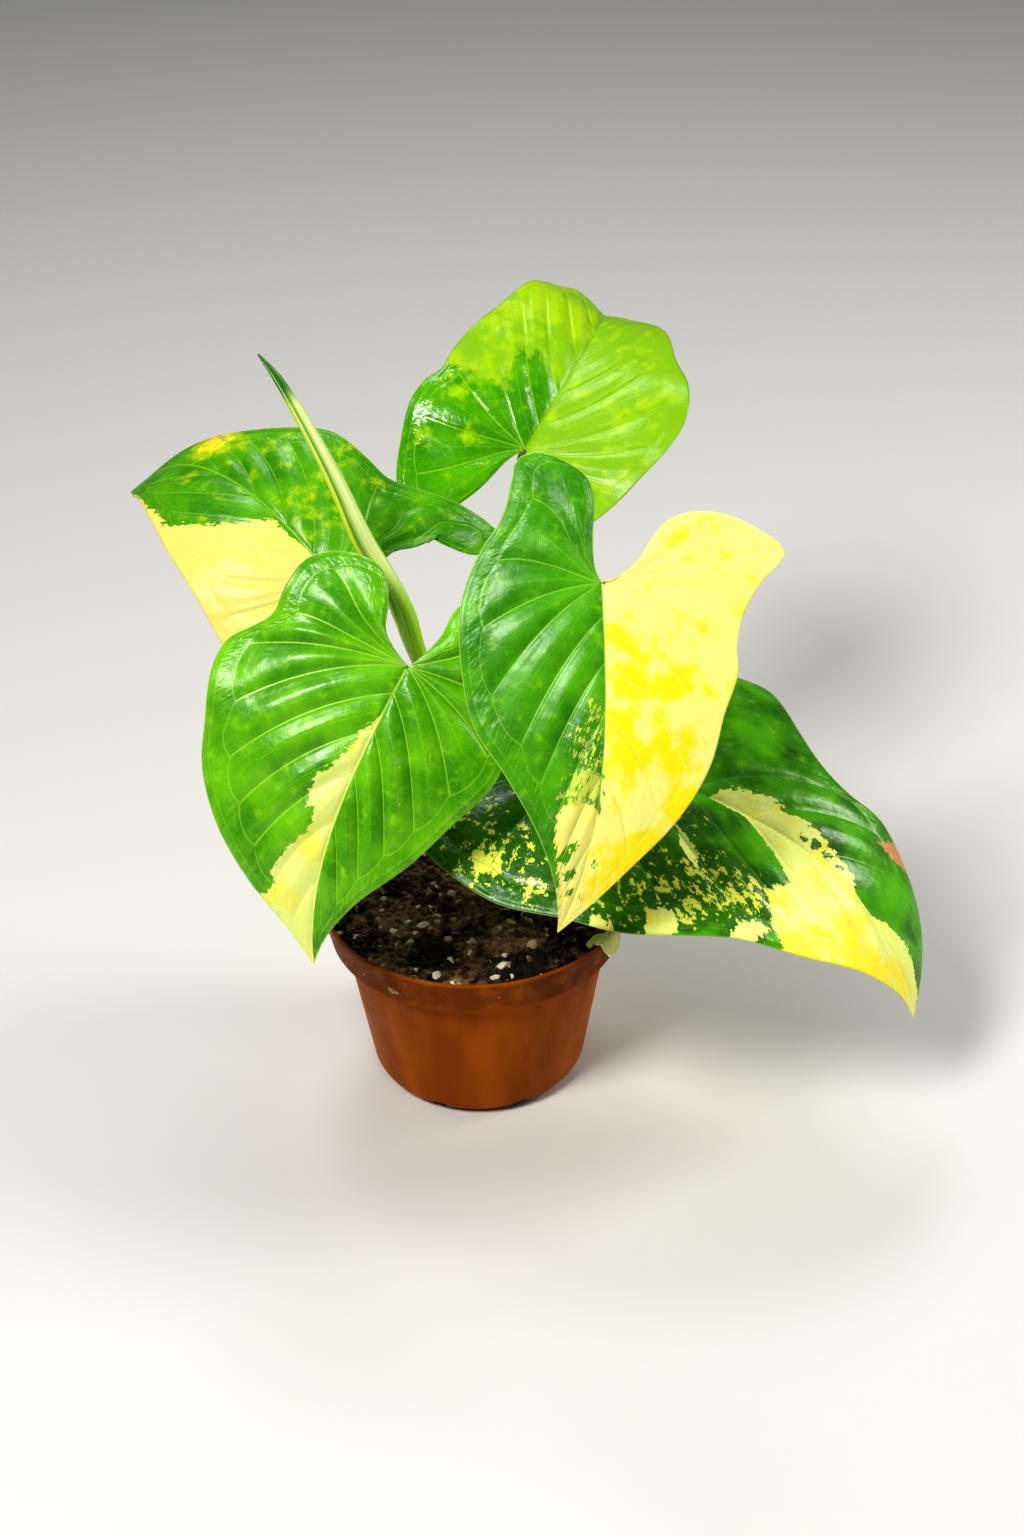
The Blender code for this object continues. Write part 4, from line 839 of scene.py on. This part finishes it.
def blade_mesh(name, leaf):
    """Both halves on one midrib, with sunken veins above, raised veins below and a thin margin."""
    index, places, faces, marks = {}, [], [], {}
    for side in ("left", "right"):
        rows, numbers, b = half_grid(leaf, side)
        flat_s, flat_q = rows[:, :, 0], rows[:, :, 1]
        sign = 1.0 if side == "right" else -1.0
        reach = np.linalg.norm(rows[:, -1] - rows[:, 0], axis=1)[:, None]
        gap = np.linalg.norm(np.gradient(rows, numbers, axis=0), axis=2)
        roomy = np.clip(gap / ROOMY_GAP, 0.0, 1.0)
        between = np.abs(numbers - np.round(numbers))[:, None]
        hump = np.sin(np.pi * (numbers % 1.0))[:, None]
        looped = COLLECTING_VEIN - 0.02 + 0.035 * hump ** 0.8
        lateral = between * gap + 2.5 * np.clip(b - looped, 0.0, None) * reach
        lateral[np.round(numbers) == 0] += 3.0
        loop = (b - looped) * reach
        minor = np.abs(numbers % 1.0 - 0.5)[:, None] * gap + 1.5 * np.clip(b - 0.7, 0.0, None) * reach
        vein = np.minimum(lateral, np.abs(loop) + 0.1)
        fade = np.minimum(1.0, (LOBE_VEINS + SIDE_VEINS - numbers) / 2.5)[:, None]
        across = np.sin(np.pi * np.clip(b / COLLECTING_VEIN, 0.0, 1.0)) ** 0.6
        lift = QUILT_HEIGHT * leaf["quilt"][side == "right"] * hump ** 1.2 * across * fade * roomy
        lift -= GROOVE_DEPTH * fade * np.exp(-(vein / VEIN_WIDTH) ** 2) * roomy
        ripple = np.sin(2 * np.pi * 3 * numbers)[:, None] * np.sin(np.pi * b) * roomy
        lift += RIPPLE_HEIGHT * ripple * fade
        for s, t, radius, height in leaf.get("dents", []):
            lift += height * np.exp(-(np.hypot(flat_s - s, sign * flat_q - t) / radius) ** 2)
        shallow = np.clip(1 - flat_s / leaf["length"], 0, 1)
        lift -= RIB_GROOVE * np.exp(-(flat_q / RIB_GROOVE_WIDTH) ** 2) * shallow
        spots = bend_blade(leaf, side, flat_s.ravel(), flat_q.ravel(), lift.ravel())
        margin = (1.0 - b) * reach
        notch_gap = np.linalg.norm(rows - rows[0], axis=2)
        margin = np.where(numbers[:, None] < 1.0, np.minimum(margin, notch_gap), margin)
        half = SECOND_HALF if side == "right" else 0.0
        own = {"vein": vein, "lateral": lateral, "loop": loop, "minor": minor, "rib": flat_q,
               "edge": margin, "flat": np.dstack([flat_s, sign * flat_q]),
               "grain": np.dstack(np.broadcast_arrays(numbers[:, None] + half, b))}
        ids, fresh = np.empty(len(spots), int), []
        for i, (s, t) in enumerate(own["flat"].reshape(-1, 2)):
            key = (round(s, 3), round(t, 3) + 0.0)
            if key not in index:
                index[key] = len(index)
                fresh.append(i)
            ids[i] = index[key]
        places.append(spots[fresh])
        for key, value in own.items():
            marks.setdefault(key, []).append(value.reshape(len(spots), -1)[fresh])
        ids = ids.reshape(flat_s.shape)
        for k in range(ids.shape[0] - 1):
            for c in range(ids.shape[1] - 1):
                corners = [ids[k, c], ids[k, c + 1], ids[k + 1, c + 1], ids[k + 1, c]]
                corners = list(dict.fromkeys(corners if side == "left" else corners[::-1]))
                if len(corners) > 2:
                    faces.append(corners)
    marks = {key: np.vstack(value).squeeze() for key, value in marks.items()}
    upper = np.vstack(places) * MM
    sheet = bpy.data.meshes.new(name)
    sheet.from_pydata(upper.tolist(), [], faces)
    normals = np.array([v.normal for v in sheet.vertices])
    bpy.data.meshes.remove(sheet)
    tip_share = np.clip(1 - marks["flat"][:, 0] / leaf["length"], 0.0, 1.0)
    thinner = (BLADE_THICKNESS - MARGIN_THICKNESS) * np.exp(-(marks["edge"] / MARGIN_WIDTH) ** 2)
    raised = VEIN_RELIEF * np.exp(-(marks["vein"] / VEIN_WIDTH) ** 2) * np.clip(marks["edge"] / 3.0, 0, 1)
    rib = RIB_DEPTH * np.exp(-(marks["rib"] / RIB_WIDTH) ** 2) * tip_share ** 0.6
    lower = upper - normals * ((BLADE_THICKNESS - thinner + raised + rib) * MM)[:, None]
    total = len(upper)
    rim = dict.fromkeys(pair for face in faces for pair in zip(face, face[1:] + face[:1]))
    walls = [[end, start, start + total, end + total] for start, end in rim if (end, start) not in rim]
    under = [[corner + total for corner in reversed(face)] for face in faces]
    mesh = bpy.data.meshes.new(name)
    mesh.from_pydata(np.vstack([upper, lower]).tolist(), [], faces + under + walls)
    marks.update(zip(POINT_MARKS, painted(leaf, marks["flat"])))
    for key in POINT_MARKS:
        mark_points(mesh, key, np.concatenate([marks[key], marks[key]]))
    mark_points(mesh, "under", np.repeat([0.0, 1.0], total))
    corners = np.zeros(len(mesh.loops), int)
    mesh.loops.foreach_get("vertex_index", corners)
    flat_uv = marks["flat"][corners % total] / FLAT_SCALE + 0.5
    mesh.uv_layers.new(name="flat_leaf").data.foreach_set("uv", flat_uv.ravel())
    mesh.shade_smooth()
    return mesh


def leaf_material(name, looks):
    """Leaf skin: mottled green, jagged pale sectors and flecks, pale vein lines, satin gloss."""
    made, tree, shader = start_material(name, coat_weight=0.10, coat_roughness=0.18,
                                        specular_ior_level=0.34)

    def mark(key, output="Fac"):
        return node(tree, "ShaderNodeAttribute", attribute_name=key).outputs[output]

    def veined(across, along, detail, roughness):
        return noise(tree, stretched(tree, grain, (across, along, 1.0)), 1.0, detail, roughness)

    flat, grain = mark("flat", "Vector"), mark("grain", "Vector")
    rich, fleck, under = mark("rich"), mark("fleck"), mark("under")
    from_rib, from_edge = mark("rib"), mark("edge")
    ragged = noise(tree, flat, 0.50, 4.0, 0.62)
    jag = maths(tree, "SUBTRACT", maths(tree, "ADD", veined(8.0, 3.0, 3.0, 0.6), ragged), 1.0)
    jag = times(tree, times(tree, jag, 5.0), ramp(tree, from_rib, 0.2, 2.5))
    sector = ramp(tree, maths(tree, "ADD", mark("patch"), jag), -looks["soft"], looks["soft"])

    crumbled = noise(tree, flat, 0.36, 5.0, 0.70)
    speckle = times(tree, maths(tree, "ADD", veined(8.0, 11.0, 5.0, 0.70), crumbled), 0.5)
    limit = maths(tree, "MULTIPLY_ADD", fleck, -0.26, 0.70)
    flecks = ramp(tree, maths(tree, "SUBTRACT", speckle, limit), -0.003, 0.005)
    clouds = noise(tree, flat, 0.05, 3.0, 0.55)
    pleats = veined(3.4, 0.7, 2.0, 0.5)
    green = blend_colours(tree, ramp(tree, clouds, 0.33, 0.68), looks["deep"], looks["bright"])
    green = blend_colours(tree, ramp(tree, pleats, 0.38, 0.68, 0.0, 0.35), green, looks["bright"])
    haze = maths(tree, "MULTIPLY_ADD", rich, 0.30, noise(tree, flat, 0.20, 3.0, 0.6))
    green = blend_colours(tree, ramp(tree, haze, 0.55, 0.85), green, looks["glow"])
    green = blend_colours(tree, ramp(tree, haze, 0.88, 1.0), green, looks["fleck"])
    # Grey-green patches over the flecked parts: partly the leaf's own mottling and partly painted sheen.
    mottle_and_sheen = maths(tree, "MULTIPLY_ADD", fleck, 0.17, noise(tree, flat, 0.33, 4.0, 0.68))
    green = blend_colours(tree, ramp(tree, mottle_and_sheen, 0.66, 0.68, 0.0, 0.7), green, SAGE_AND_SHEEN)
    # Painted shade: the green is darkened over the flecked part of the blade, on the low right leaf only,
    # where the leaves above shade it.
    painted_shade = ramp(tree, fleck, 0.10, 0.45, 0.0, looks["painted_shade"])
    green = blend_colours(tree, painted_shade, green, tuple(DUSK_SHADE * c for c in looks["deep"]))
    green = blend_colours(tree, flecks, green, looks["fleck"])

    blotch = maths(tree, "MULTIPLY_ADD", veined(2.2, 2.2, 3.0, 0.55), 0.35,
                   times(tree, noise(tree, flat, 0.11, 4.0, 0.62), 0.65))
    blotch = maths(tree, "MULTIPLY_ADD", rich, 0.16, blotch)
    cream = blend_colours(tree, ramp(tree, blotch, 0.50, 0.64), looks["pale"], looks["yellow"])
    veil = ramp(tree, veined(3.0, 5.0, 5.0, 0.7), 0.60, 0.64, 0.0, 0.16)
    cream = blend_colours(tree, veil, cream, looks["glow"])
    colour = blend_colours(tree, sector, green, cream)

    cells = node(tree, "ShaderNodeTexVoronoi", {"Vector": flat, "Scale": 0.42}, feature="DISTANCE_TO_EDGE")
    netting = ramp(tree, cells.outputs["Distance"], 0.0, 0.14, 1.0, 0.0)
    colour = blend_colours(tree, times(tree, netting, 0.08), colour, looks["vein"])
    line = ramp(tree, mark("lateral"), 0.06, 0.42, 0.66, 0.0)
    looped = ramp(tree, maths(tree, "ABSOLUTE", mark("loop")), 0.06, 0.36, 0.42, 0.0)
    minor = ramp(tree, mark("minor"), 0.04, 0.30, 0.26, 0.0)
    line = maths(tree, "MAXIMUM", maths(tree, "MAXIMUM", line, looped), minor)
    from_outer = maths(tree, "ABSOLUTE", maths(tree, "SUBTRACT", from_edge, OUTER_VEIN))
    outer = ramp(tree, from_outer, 0.05, 0.35, 0.22, 0.0)
    rib = ramp(tree, from_rib, 0.15, 0.50, 0.9, 0.0)
    drawn = maths(tree, "MAXIMUM", maths(tree, "MAXIMUM", line, outer), rib)
    pale_vein = tuple(min(1.0, 1.06 * c) for c in looks["pale"])
    colour = blend_colours(tree, drawn, colour, blend_colours(tree, sector, looks["vein"], pale_vein))
    pale_rim = tuple(0.5 * a + 0.4 * b for a, b in zip(looks["vein"], looks["pale"]))
    border = blend_colours(tree, sector, pale_rim, looks["pale"])
    colour = blend_colours(tree, ramp(tree, from_edge, 0.10, 0.40, 0.75, 0.0), colour, border)
    burnt = maths(tree, "MULTIPLY_ADD", maths(tree, "SUBTRACT", ragged, 0.5), 5.0, mark("scorch"))
    colour = blend_colours(tree, ramp(tree, burnt, 0.0, 0.5, 0.0, 0.85), colour, SCORCH)
    colour = blend_colours(tree, under, colour, blend_colours(tree, 0.40, colour, UNDERSIDE))
    tree.links.new(colour, shader.inputs["Base Color"])

    sheen = ramp(tree, noise(tree, flat, 0.25, 3.0), 0.3, 0.7, *looks["rough"])
    gloss = maths(tree, "MULTIPLY_ADD", under, 0.25, sheen)
    tree.links.new(maths(tree, "MULTIPLY_ADD", sector, PALE_DULLER, gloss), shader.inputs["Roughness"])
    relief = times(tree, noise(tree, flat, 1.6, 2.0), 0.05)
    relief = maths(tree, "ADD", times(tree, netting, -0.018), relief)
    soft = times(tree, noise(tree, flat, 0.13, 2.0), 0.7)
    relief = maths(tree, "ADD", relief, maths(tree, "MULTIPLY_ADD", pleats, 0.22, soft))
    relief = maths(tree, "MULTIPLY_ADD", line, -0.02, relief)
    crimped = times(tree, ramp(tree, from_edge, 0.8, 2.5), ramp(tree, from_edge, 5.0, 10.0, 0.9, 0.0))
    crimped = times(tree, crimped, maths(tree, "SUBTRACT", 1.0, sector))
    relief = maths(tree, "MULTIPLY_ADD", crimped, veined(7.0, 9.0, 2.0, 0.5), relief)
    bump(tree, shader, relief, 0.8)
    return made


for leaf_name, leaf in BLADES.items():
    looks = LEAF_LOOKS[leaf_name]
    blade = add_piece("leaf_" + leaf_name, blade_mesh("leaf_" + leaf_name, leaf),
                      leaf_material("leaf_" + leaf_name, looks))
    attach(blade, "root")
    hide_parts("blade_" + leaf_name)

# The stem and the leaf stalks. The short stem stands in its hole in the soil, ringed by old leaf
# scars. Each stalk is a slim channelled rod that rises from a wider sheath round the stem and turns
# over at its top, where a slight swelling joins the blade from below.
STEM_TOP = 88.0
STEM_BURIED = 16.0
STEM_RADIUS = 3.3
STEM_RINGS = 70
STEM_SIDES = 32
STEM_SCARS = (66.0, 70.0, 75.0, 79.0)
STEM_TAPER = ((44.0, 3.0), (64.0, 2.95), (80.0, 2.65), (88.0, 1.9))
SCAR_HEIGHT = 0.35
SCAR_WIDTH = 0.7
STALK_RADIUS = 1.7
STALK_SIDES = 24
STALK_CHANNEL = 0.28
STALK_RISE = 9.0
STALK_APPROACH = 14.0
STALK_REACH = 1.5
RIB_THICKNESS = 1.4
CLEARANCE = 0.3
ROD_WELD = 0.005
ROD_SHARP = 60.0
STALKS = {
    "right_low": dict(foot=67.0, side=-15, via=[(13.0, 3.5, 90.0), (29.0, -2.0, 110.0)]),
    "front_left": dict(foot=71.0, side=-135, via=[(-7.0, 1.0, 100.0), (-10.0, -10.0, 134.0)]),
    "back_top": dict(foot=74.0, side=75, via=[(2.0, 22.0, 120.0), (10.0, 43.0, 160.0)]),
    "front_right": dict(foot=78.0, side=-70,
                        via=[(2.5, 1.0, 102.0), (8.0, -2.0, 124.0), (20.0, -17.0, 160.0)]),
    "back_left": dict(foot=81.0, side=170, via=[(-14.0, 8.0, 118.0), (-27.0, 8.5, 152.0)]),
}
STALK_GREEN = (0.24, 0.44, 0.045)
STALK_PALE = (0.48, 0.60, 0.16)
STEM_BROWN = (0.74, 0.50, 0.20)
STEM_OLIVE = (0.74, 0.64, 0.26)


def skin_material(name, main, streak, roughness):
    """Smooth plant skin with fine lengthwise streaks."""
    made, tree, shader = start_material(name, roughness=roughness, coat_weight=0.12, coat_roughness=0.3)
    place = node(tree, "ShaderNodeTexCoord").outputs["Object"]
    lines = noise(tree, stretched(tree, place, (1.0, 1.0, 0.07)), 1500.0, 3.0, 0.6)
    share = maths(tree, "MULTIPLY_ADD", lines, 0.5, times(tree, noise(tree, place, 70.0, 3.0), 0.5))
    colour = blend_colours(tree, ramp(tree, share, 0.38, 0.64), main, streak)
    tree.links.new(colour, shader.inputs["Base Color"])
    bump(tree, shader, times(tree, lines, 0.12), 0.6)
    return made


def rod_tree(name, finish):
    """Geometry Nodes that sweep a channelled round section along a line of points with radii."""
    tree, given = new_tree(name, "Line", {"Sides": "Int", "Channel": "Float"}, "Rod")
    curve = node(tree, "GeometryNodeMeshToCurve", {"Mesh": given["Line"]})
    radius = node(tree, "GeometryNodeInputNamedAttribute", {"Name": "thickness"}, data_type="FLOAT")
    sized = node(tree, "GeometryNodeSetCurveRadius",
                 {"Curve": curve.outputs[0], "Radius": radius.outputs[0]})
    ring = node(tree, "GeometryNodeCurvePrimitiveCircle", {"Resolution": given["Sides"], "Radius": 1.0})
    place = node(tree, "GeometryNodeInputPosition").outputs[0]
    spot = node(tree, "ShaderNodeSeparateXYZ", {0: place}).outputs
    near = node(tree, "ShaderNodeMapRange", {0: times(tree, spot["X"], spot["X"]), 1: 0.0, 2: 0.18, 3: 1.0,
                                             4: 0.0}).outputs[0]
    dip = times(tree, near, maths(tree, "GREATER_THAN", spot["Y"], 0.0))
    shift = node(tree, "ShaderNodeCombineXYZ", {"Y": times(tree, times(tree, dip, given["Channel"]), -1.0)})
    grooved = node(tree, "GeometryNodeSetPosition",
                   {"Geometry": ring.outputs[0], "Offset": shift.outputs[0]})
    swept = node(tree, "GeometryNodeCurveToMesh",
                 {"Curve": sized.outputs[0], "Profile Curve": grooved.outputs[0],
                  "Scale": radius.outputs[0], "Fill Caps": True})
    welded = node(tree, "GeometryNodeMergeByDistance",
                  {"Geometry": swept.outputs[0], "Distance": ROD_WELD * MM})
    real = node(tree, "GeometryNodeRealizeInstances", {"Geometry": welded.outputs[0]})
    coated = node(tree, "GeometryNodeSetMaterial", {"Geometry": real.outputs[0], "Material": finish})
    node(tree, "NodeGroupOutput", {"Rod": coated.outputs[0]})
    return tree


def rod(name, line, radii, finish, sides, channel):
    """A channelled rod along points in millimetres, as a plain closed mesh."""
    mesh = bpy.data.meshes.new(name)
    mesh.from_pydata((np.array(line) * MM).tolist(), [(i, i + 1) for i in range(len(line) - 1)], [])
    mark_points(mesh, "thickness", np.array(radii) * MM)
    piece = add_piece(name, mesh)
    sweep = piece.modifiers.new("sweep", "NODES")
    sweep.node_group = rod_tree(name, finish)
    set_inputs(sweep, {"Sides": sides, "Channel": channel})
    evaluated_mesh(piece, name)
    shape = bmesh.new()
    shape.from_mesh(piece.data)
    bmesh.ops.recalc_face_normals(shape, faces=shape.faces)
    shape.to_mesh(piece.data)
    shape.free()
    piece.data.shade_smooth()
    piece.data.set_sharp_from_angle(angle=math.radians(ROD_SHARP))
    return piece


stem_skin = skin_material("stem_skin", STEM_OLIVE, STEM_BROWN, 0.55)
stalk_skin = skin_material("stalk_skin", STALK_GREEN, STALK_PALE, 0.38)
stem_heights = np.linspace(SOIL_LEVEL - STEM_BURIED, STEM_TOP, STEM_RINGS)
stem_radii = []
for height in stem_heights:
    scar = sum(math.exp(-((height - ring) / SCAR_WIDTH) ** 2) for ring in STEM_SCARS)
    taper = np.interp(height, *zip(*STEM_TAPER))
    stem_radii.append(min(taper + SCAR_HEIGHT * scar, STEM_RADIUS))
stem = rod("stem_bark", [(*STEM_FOOT, z) for z in stem_heights], stem_radii, stem_skin, STEM_SIDES, 0.0)
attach(stem, "root")
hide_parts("stem")
for stalk_name, stalk in STALKS.items():
    leaf = BLADES[stalk_name]
    leaf_ahead, _, leaf_up = blade_axes(leaf)
    bearing = math.radians(stalk["side"])
    out = np.array([math.cos(bearing), math.sin(bearing), 0.0])
    foot = np.array([*STEM_FOOT, stalk["foot"]]) + (STEM_RADIUS + STALK_RADIUS + CLEARANCE) * out
    below = RIB_THICKNESS + CLEARANCE + 0.1
    end = np.array(leaf["junction"]) + STALK_REACH * leaf_ahead - below * leaf_up
    risen = foot + 1.2 * out + np.array([0, 0, STALK_RISE])
    line = smooth_line([foot, risen, *stalk["via"], end - STALK_APPROACH * leaf_up, end], 12)
    share = np.linspace(0.0, 1.0, len(line))
    radii = STALK_RADIUS * (1.0 - 0.28 * share + 0.16 * np.exp(-((share - 0.96) / 0.04) ** 2)
                            + 0.10 * np.exp(-(share / 0.12) ** 2))
    piece = rod("stalk_" + stalk_name, line, radii, stalk_skin, STALK_SIDES, STALK_CHANNEL)
    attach(piece, "root")
    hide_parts("petiole_" + stalk_name)

# The new leaf. Still rolled round itself like a furled umbrella, cream-green with a green tip, it
# grows out of a bright yellow-green sheath on its own stalk, straight from the top of the stem.
NEW_LEAF_LINE = [(-2.0, 7.5, 88.3), (-3.5, 5.5, 112.0), (-9.0, 2.5, 138.0), (-15.5, 0.5, 156.0),
                 (-19.5, -2.0, 173.5), (-24.0, -3.5, 186.0), (-30.5, -4.0, 199.5), (-37.5, -4.0, 219.0),
                 (-45.8, -4.0, 238.5), (-52.5, -4.0, 252.0), (-57.5, -4.0, 259.5)]
NEW_LEAF_RADII = [2.3, 2.3, 2.6, 2.9, 3.8, 3.4, 3.6, 2.9, 2.2, 1.5, 0.35]
ROLL_STARTS = 0.50
ROLL_RINGS = 120
ROLL_SIDES = 56
ROLL_STEP = 0.20
ROLL_EDGE = 0.985
ROLL_EDGE_BEARING = 238.0
ROLL_TWIST = 0.9
ROLL_WELD = 0.001
ROLL_SHARP = 50.0
SHEATH_COLOUR = (0.40, 0.74, 0.02)
SHEATH_RIDGE = (0.76, 0.96, 0.16)
# Cream of the young blade. Round the roll it is also a painted highlight.
ROLL_CREAM_AND_HIGHLIGHT = (0.86, 0.94, 0.46)
ROLL_GREEN = (0.36, 0.60, 0.04)
# Painted shadow in the step where the roll's outer edge stands proud.
ROLL_CREASE_SHADOW = (0.10, 0.34, 0.01)
ROLL_LAP = (0.62, 0.74, 0.04)
ROLL_TIP = (0.035, 0.20, 0.008)


def new_leaf_material():
    """Cream-green rolled blade, yellow-green sheath below and green tip, by the place along it."""
    made, tree, shader = start_material("new_leaf_skin", roughness=0.34, coat_weight=0.1,
                                        coat_roughness=0.2, specular_ior_level=0.35)
    along = node(tree, "ShaderNodeAttribute", attribute_name="along").outputs["Fac"]
    wrap = node(tree, "ShaderNodeAttribute", attribute_name="wrap").outputs["Fac"]
    place = node(tree, "ShaderNodeTexCoord").outputs["Object"]
    rolled_out = node(tree, "ShaderNodeCombineXYZ",
                      {"X": times(tree, wrap, 26.0), "Y": times(tree, along, 3.0)})
    lines = noise(tree, rolled_out.outputs[0], 1.0)
    # Painted shadow: a dark green line along the step of the roll.
    face = blend_colours(tree, ramp(tree, wrap, 0.0, 0.13), ROLL_CREASE_SHADOW, ROLL_CREAM_AND_HIGHLIGHT)
    # The cream band next to the step is partly the blade's own cream and partly painted highlight. Further
    # round, the roll turns green.
    face = blend_colours(tree, ramp(tree, wrap, 0.24, 0.40, 0.0, 0.8), face, ROLL_GREEN)
    body = blend_colours(tree, ramp(tree, lines, 0.35, 0.65, 0.0, 0.5), face, ROLL_GREEN)
    body = blend_colours(tree, ramp(tree, wrap, 0.86, 0.94), body, ROLL_LAP)
    sheath = ramp(tree, along, ROLL_STARTS - 0.02, ROLL_STARTS + 0.10, 1.0, 0.0)
    skin = blend_colours(tree, ramp(tree, lines, 0.46, 0.62, 0.0, 0.7), SHEATH_COLOUR, SHEATH_RIDGE)
    colour = blend_colours(tree, sheath, body, skin)
    tip = ramp(tree, maths(tree, "MULTIPLY_ADD", lines, 0.06, along), 0.925, 0.965)
    colour = blend_colours(tree, tip, colour, ROLL_TIP)
    lip = times(tree, ramp(tree, wrap, 0.955, 0.975), ramp(tree, along, 0.70, 0.85, 0.0, 0.85))
    colour = blend_colours(tree, lip, colour, ROLL_CREAM_AND_HIGHLIGHT)
    spots = ramp(tree, noise(tree, place, 900.0, 2.0), 0.68, 0.74, 0.0, 0.3)
    colour = blend_colours(tree, spots, colour, ROLL_TIP)
    tree.links.new(colour, shader.inputs["Base Color"])
    bump(tree, shader, times(tree, lines, 0.2), 0.6)
    return made


def new_leaf_mesh():
    """A tapered roll: its radius shrinks round the turn, so the outer edge stands proud as a step."""
    knots = np.array(NEW_LEAF_LINE)
    shares = np.linspace(0.0, 1.0, ROLL_RINGS)
    centres = at_fraction(smooth_line(NEW_LEAF_LINE, 16), shares)
    run = np.concatenate([[0.0], np.cumsum(np.linalg.norm(np.diff(knots, axis=0), axis=1))])
    radii = np.interp(shares, run / run[-1], NEW_LEAF_RADII)
    wraps = [i / (ROLL_SIDES - 1) for i in range(ROLL_SIDES)]
    points, faces = [], []
    side = np.array([1.0, 0.0, 0.0])
    for k, (centre, radius) in enumerate(zip(centres, radii)):
        along = centres[min(k + 1, ROLL_RINGS - 1)] - centres[max(k - 1, 0)]
        along /= np.linalg.norm(along)
        side = side - along * side.dot(along)
        side /= np.linalg.norm(side)
        front = np.cross(along, side)
        rolled = ROLL_STEP * float(np.clip((shares[k] - ROLL_STARTS + 0.06) / 0.08, 0.0, 1.0))
        twist = math.radians(ROLL_EDGE_BEARING) + ROLL_TWIST * (shares[k] - ROLL_STARTS)
        for wrap in wraps:
            turn = twist + 2.0 * math.pi * min(wrap, ROLL_EDGE) / ROLL_EDGE
            reach = radius * (1.0 - rolled * (1.0 - wrap))
            points.append((centre + reach * (math.cos(turn) * side + math.sin(turn) * front)) * MM)
    for k in range(ROLL_RINGS - 1):
        for i in range(ROLL_SIDES):
            after = (i + 1) % ROLL_SIDES
            a, c = k * ROLL_SIDES, (k + 1) * ROLL_SIDES
            faces.append([a + i, a + after, c + after, c + i])
    faces.append(list(reversed(range(ROLL_SIDES))))
    faces.append(list(range(len(points) - ROLL_SIDES, len(points))))
    mesh = bpy.data.meshes.new("new_leaf_roll")
    mesh.from_pydata([tuple(p) for p in points], [], faces)
    mark_points(mesh, "along", np.repeat(shares, ROLL_SIDES))
    mark_points(mesh, "wrap", wraps * ROLL_RINGS)
    shape = bmesh.new()
    shape.from_mesh(mesh)
    bmesh.ops.remove_doubles(shape, verts=shape.verts, dist=ROLL_WELD * MM)
    shape.to_mesh(mesh)
    shape.free()
    mesh.shade_smooth()
    mesh.set_sharp_from_angle(angle=math.radians(ROLL_SHARP))
    return mesh


new_leaf = add_piece("new_leaf_roll", new_leaf_mesh(), new_leaf_material())
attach(new_leaf, "root")
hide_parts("new_leaf")

# The scrap on the rim. A dry cream flake of an old leaf base, curled over the edge of the pot with
# its lower end on the soil.
FLAKE_BEARING = -33.0
FLAKE_WIDTH = 11.0
FLAKE_THICKNESS = 0.6
FLAKE_COLOUR = (1.0, 0.90, 0.44)
FLAKE_SHADE = (0.88, 0.76, 0.28)
FLAKE_LINE = [(43.5, 62.9), (46.3, 63.4), (48.0, 65.9), (49.3, 66.7), (50.4, 66.6), (51.5, 64.2),
              (52.0, 61.4)]
FLAKE_COLUMNS = 26
flake_line = smooth_line(FLAKE_LINE, 8)
flake_points, flake_faces = [], []
for step, (radius, height) in enumerate(flake_line):
    share = step / (len(flake_line) - 1)
    half = 0.5 * FLAKE_WIDTH * (1.0 - 0.45 * abs(2 * share - 1) ** 2)
    half *= 1.0 + 0.05 * math.sin(17.0 * share)
    for column in range(FLAKE_COLUMNS):
        reach = half * (2 * column / (FLAKE_COLUMNS - 1) - 1)
        bearing = math.radians(FLAKE_BEARING) + reach / radius
        cup = 0.5 * (reach / half) ** 2 + 0.12 * math.sin(2.1 * reach + 4.0 * share)
        out = radius + cup
        spot = Vector((out * math.cos(bearing), out * math.sin(bearing), height + max(cup, 0.0)))
        flake_points.append(spot * MM)
for step in range(len(flake_line) - 1):
    for column in range(FLAKE_COLUMNS - 1):
        first = step * FLAKE_COLUMNS + column
        flake_faces.append([first, first + FLAKE_COLUMNS, first + FLAKE_COLUMNS + 1, first + 1])
flake_mesh = bpy.data.meshes.new("rim_flake")
flake_mesh.from_pydata(flake_points, [], flake_faces)
flake = add_piece("rim_flake", flake_mesh)
flake_wall = flake.modifiers.new("thickness", "SOLIDIFY")
flake_wall.thickness = FLAKE_THICKNESS * MM
flake_wall.offset = 1.0
evaluated_mesh(flake, "rim_flake")
flake.data.shade_smooth()
flake.data.materials.append(skin_material("flake_skin", FLAKE_COLOUR, FLAKE_SHADE, 0.6))
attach(flake, "root")
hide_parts("rim_scale")
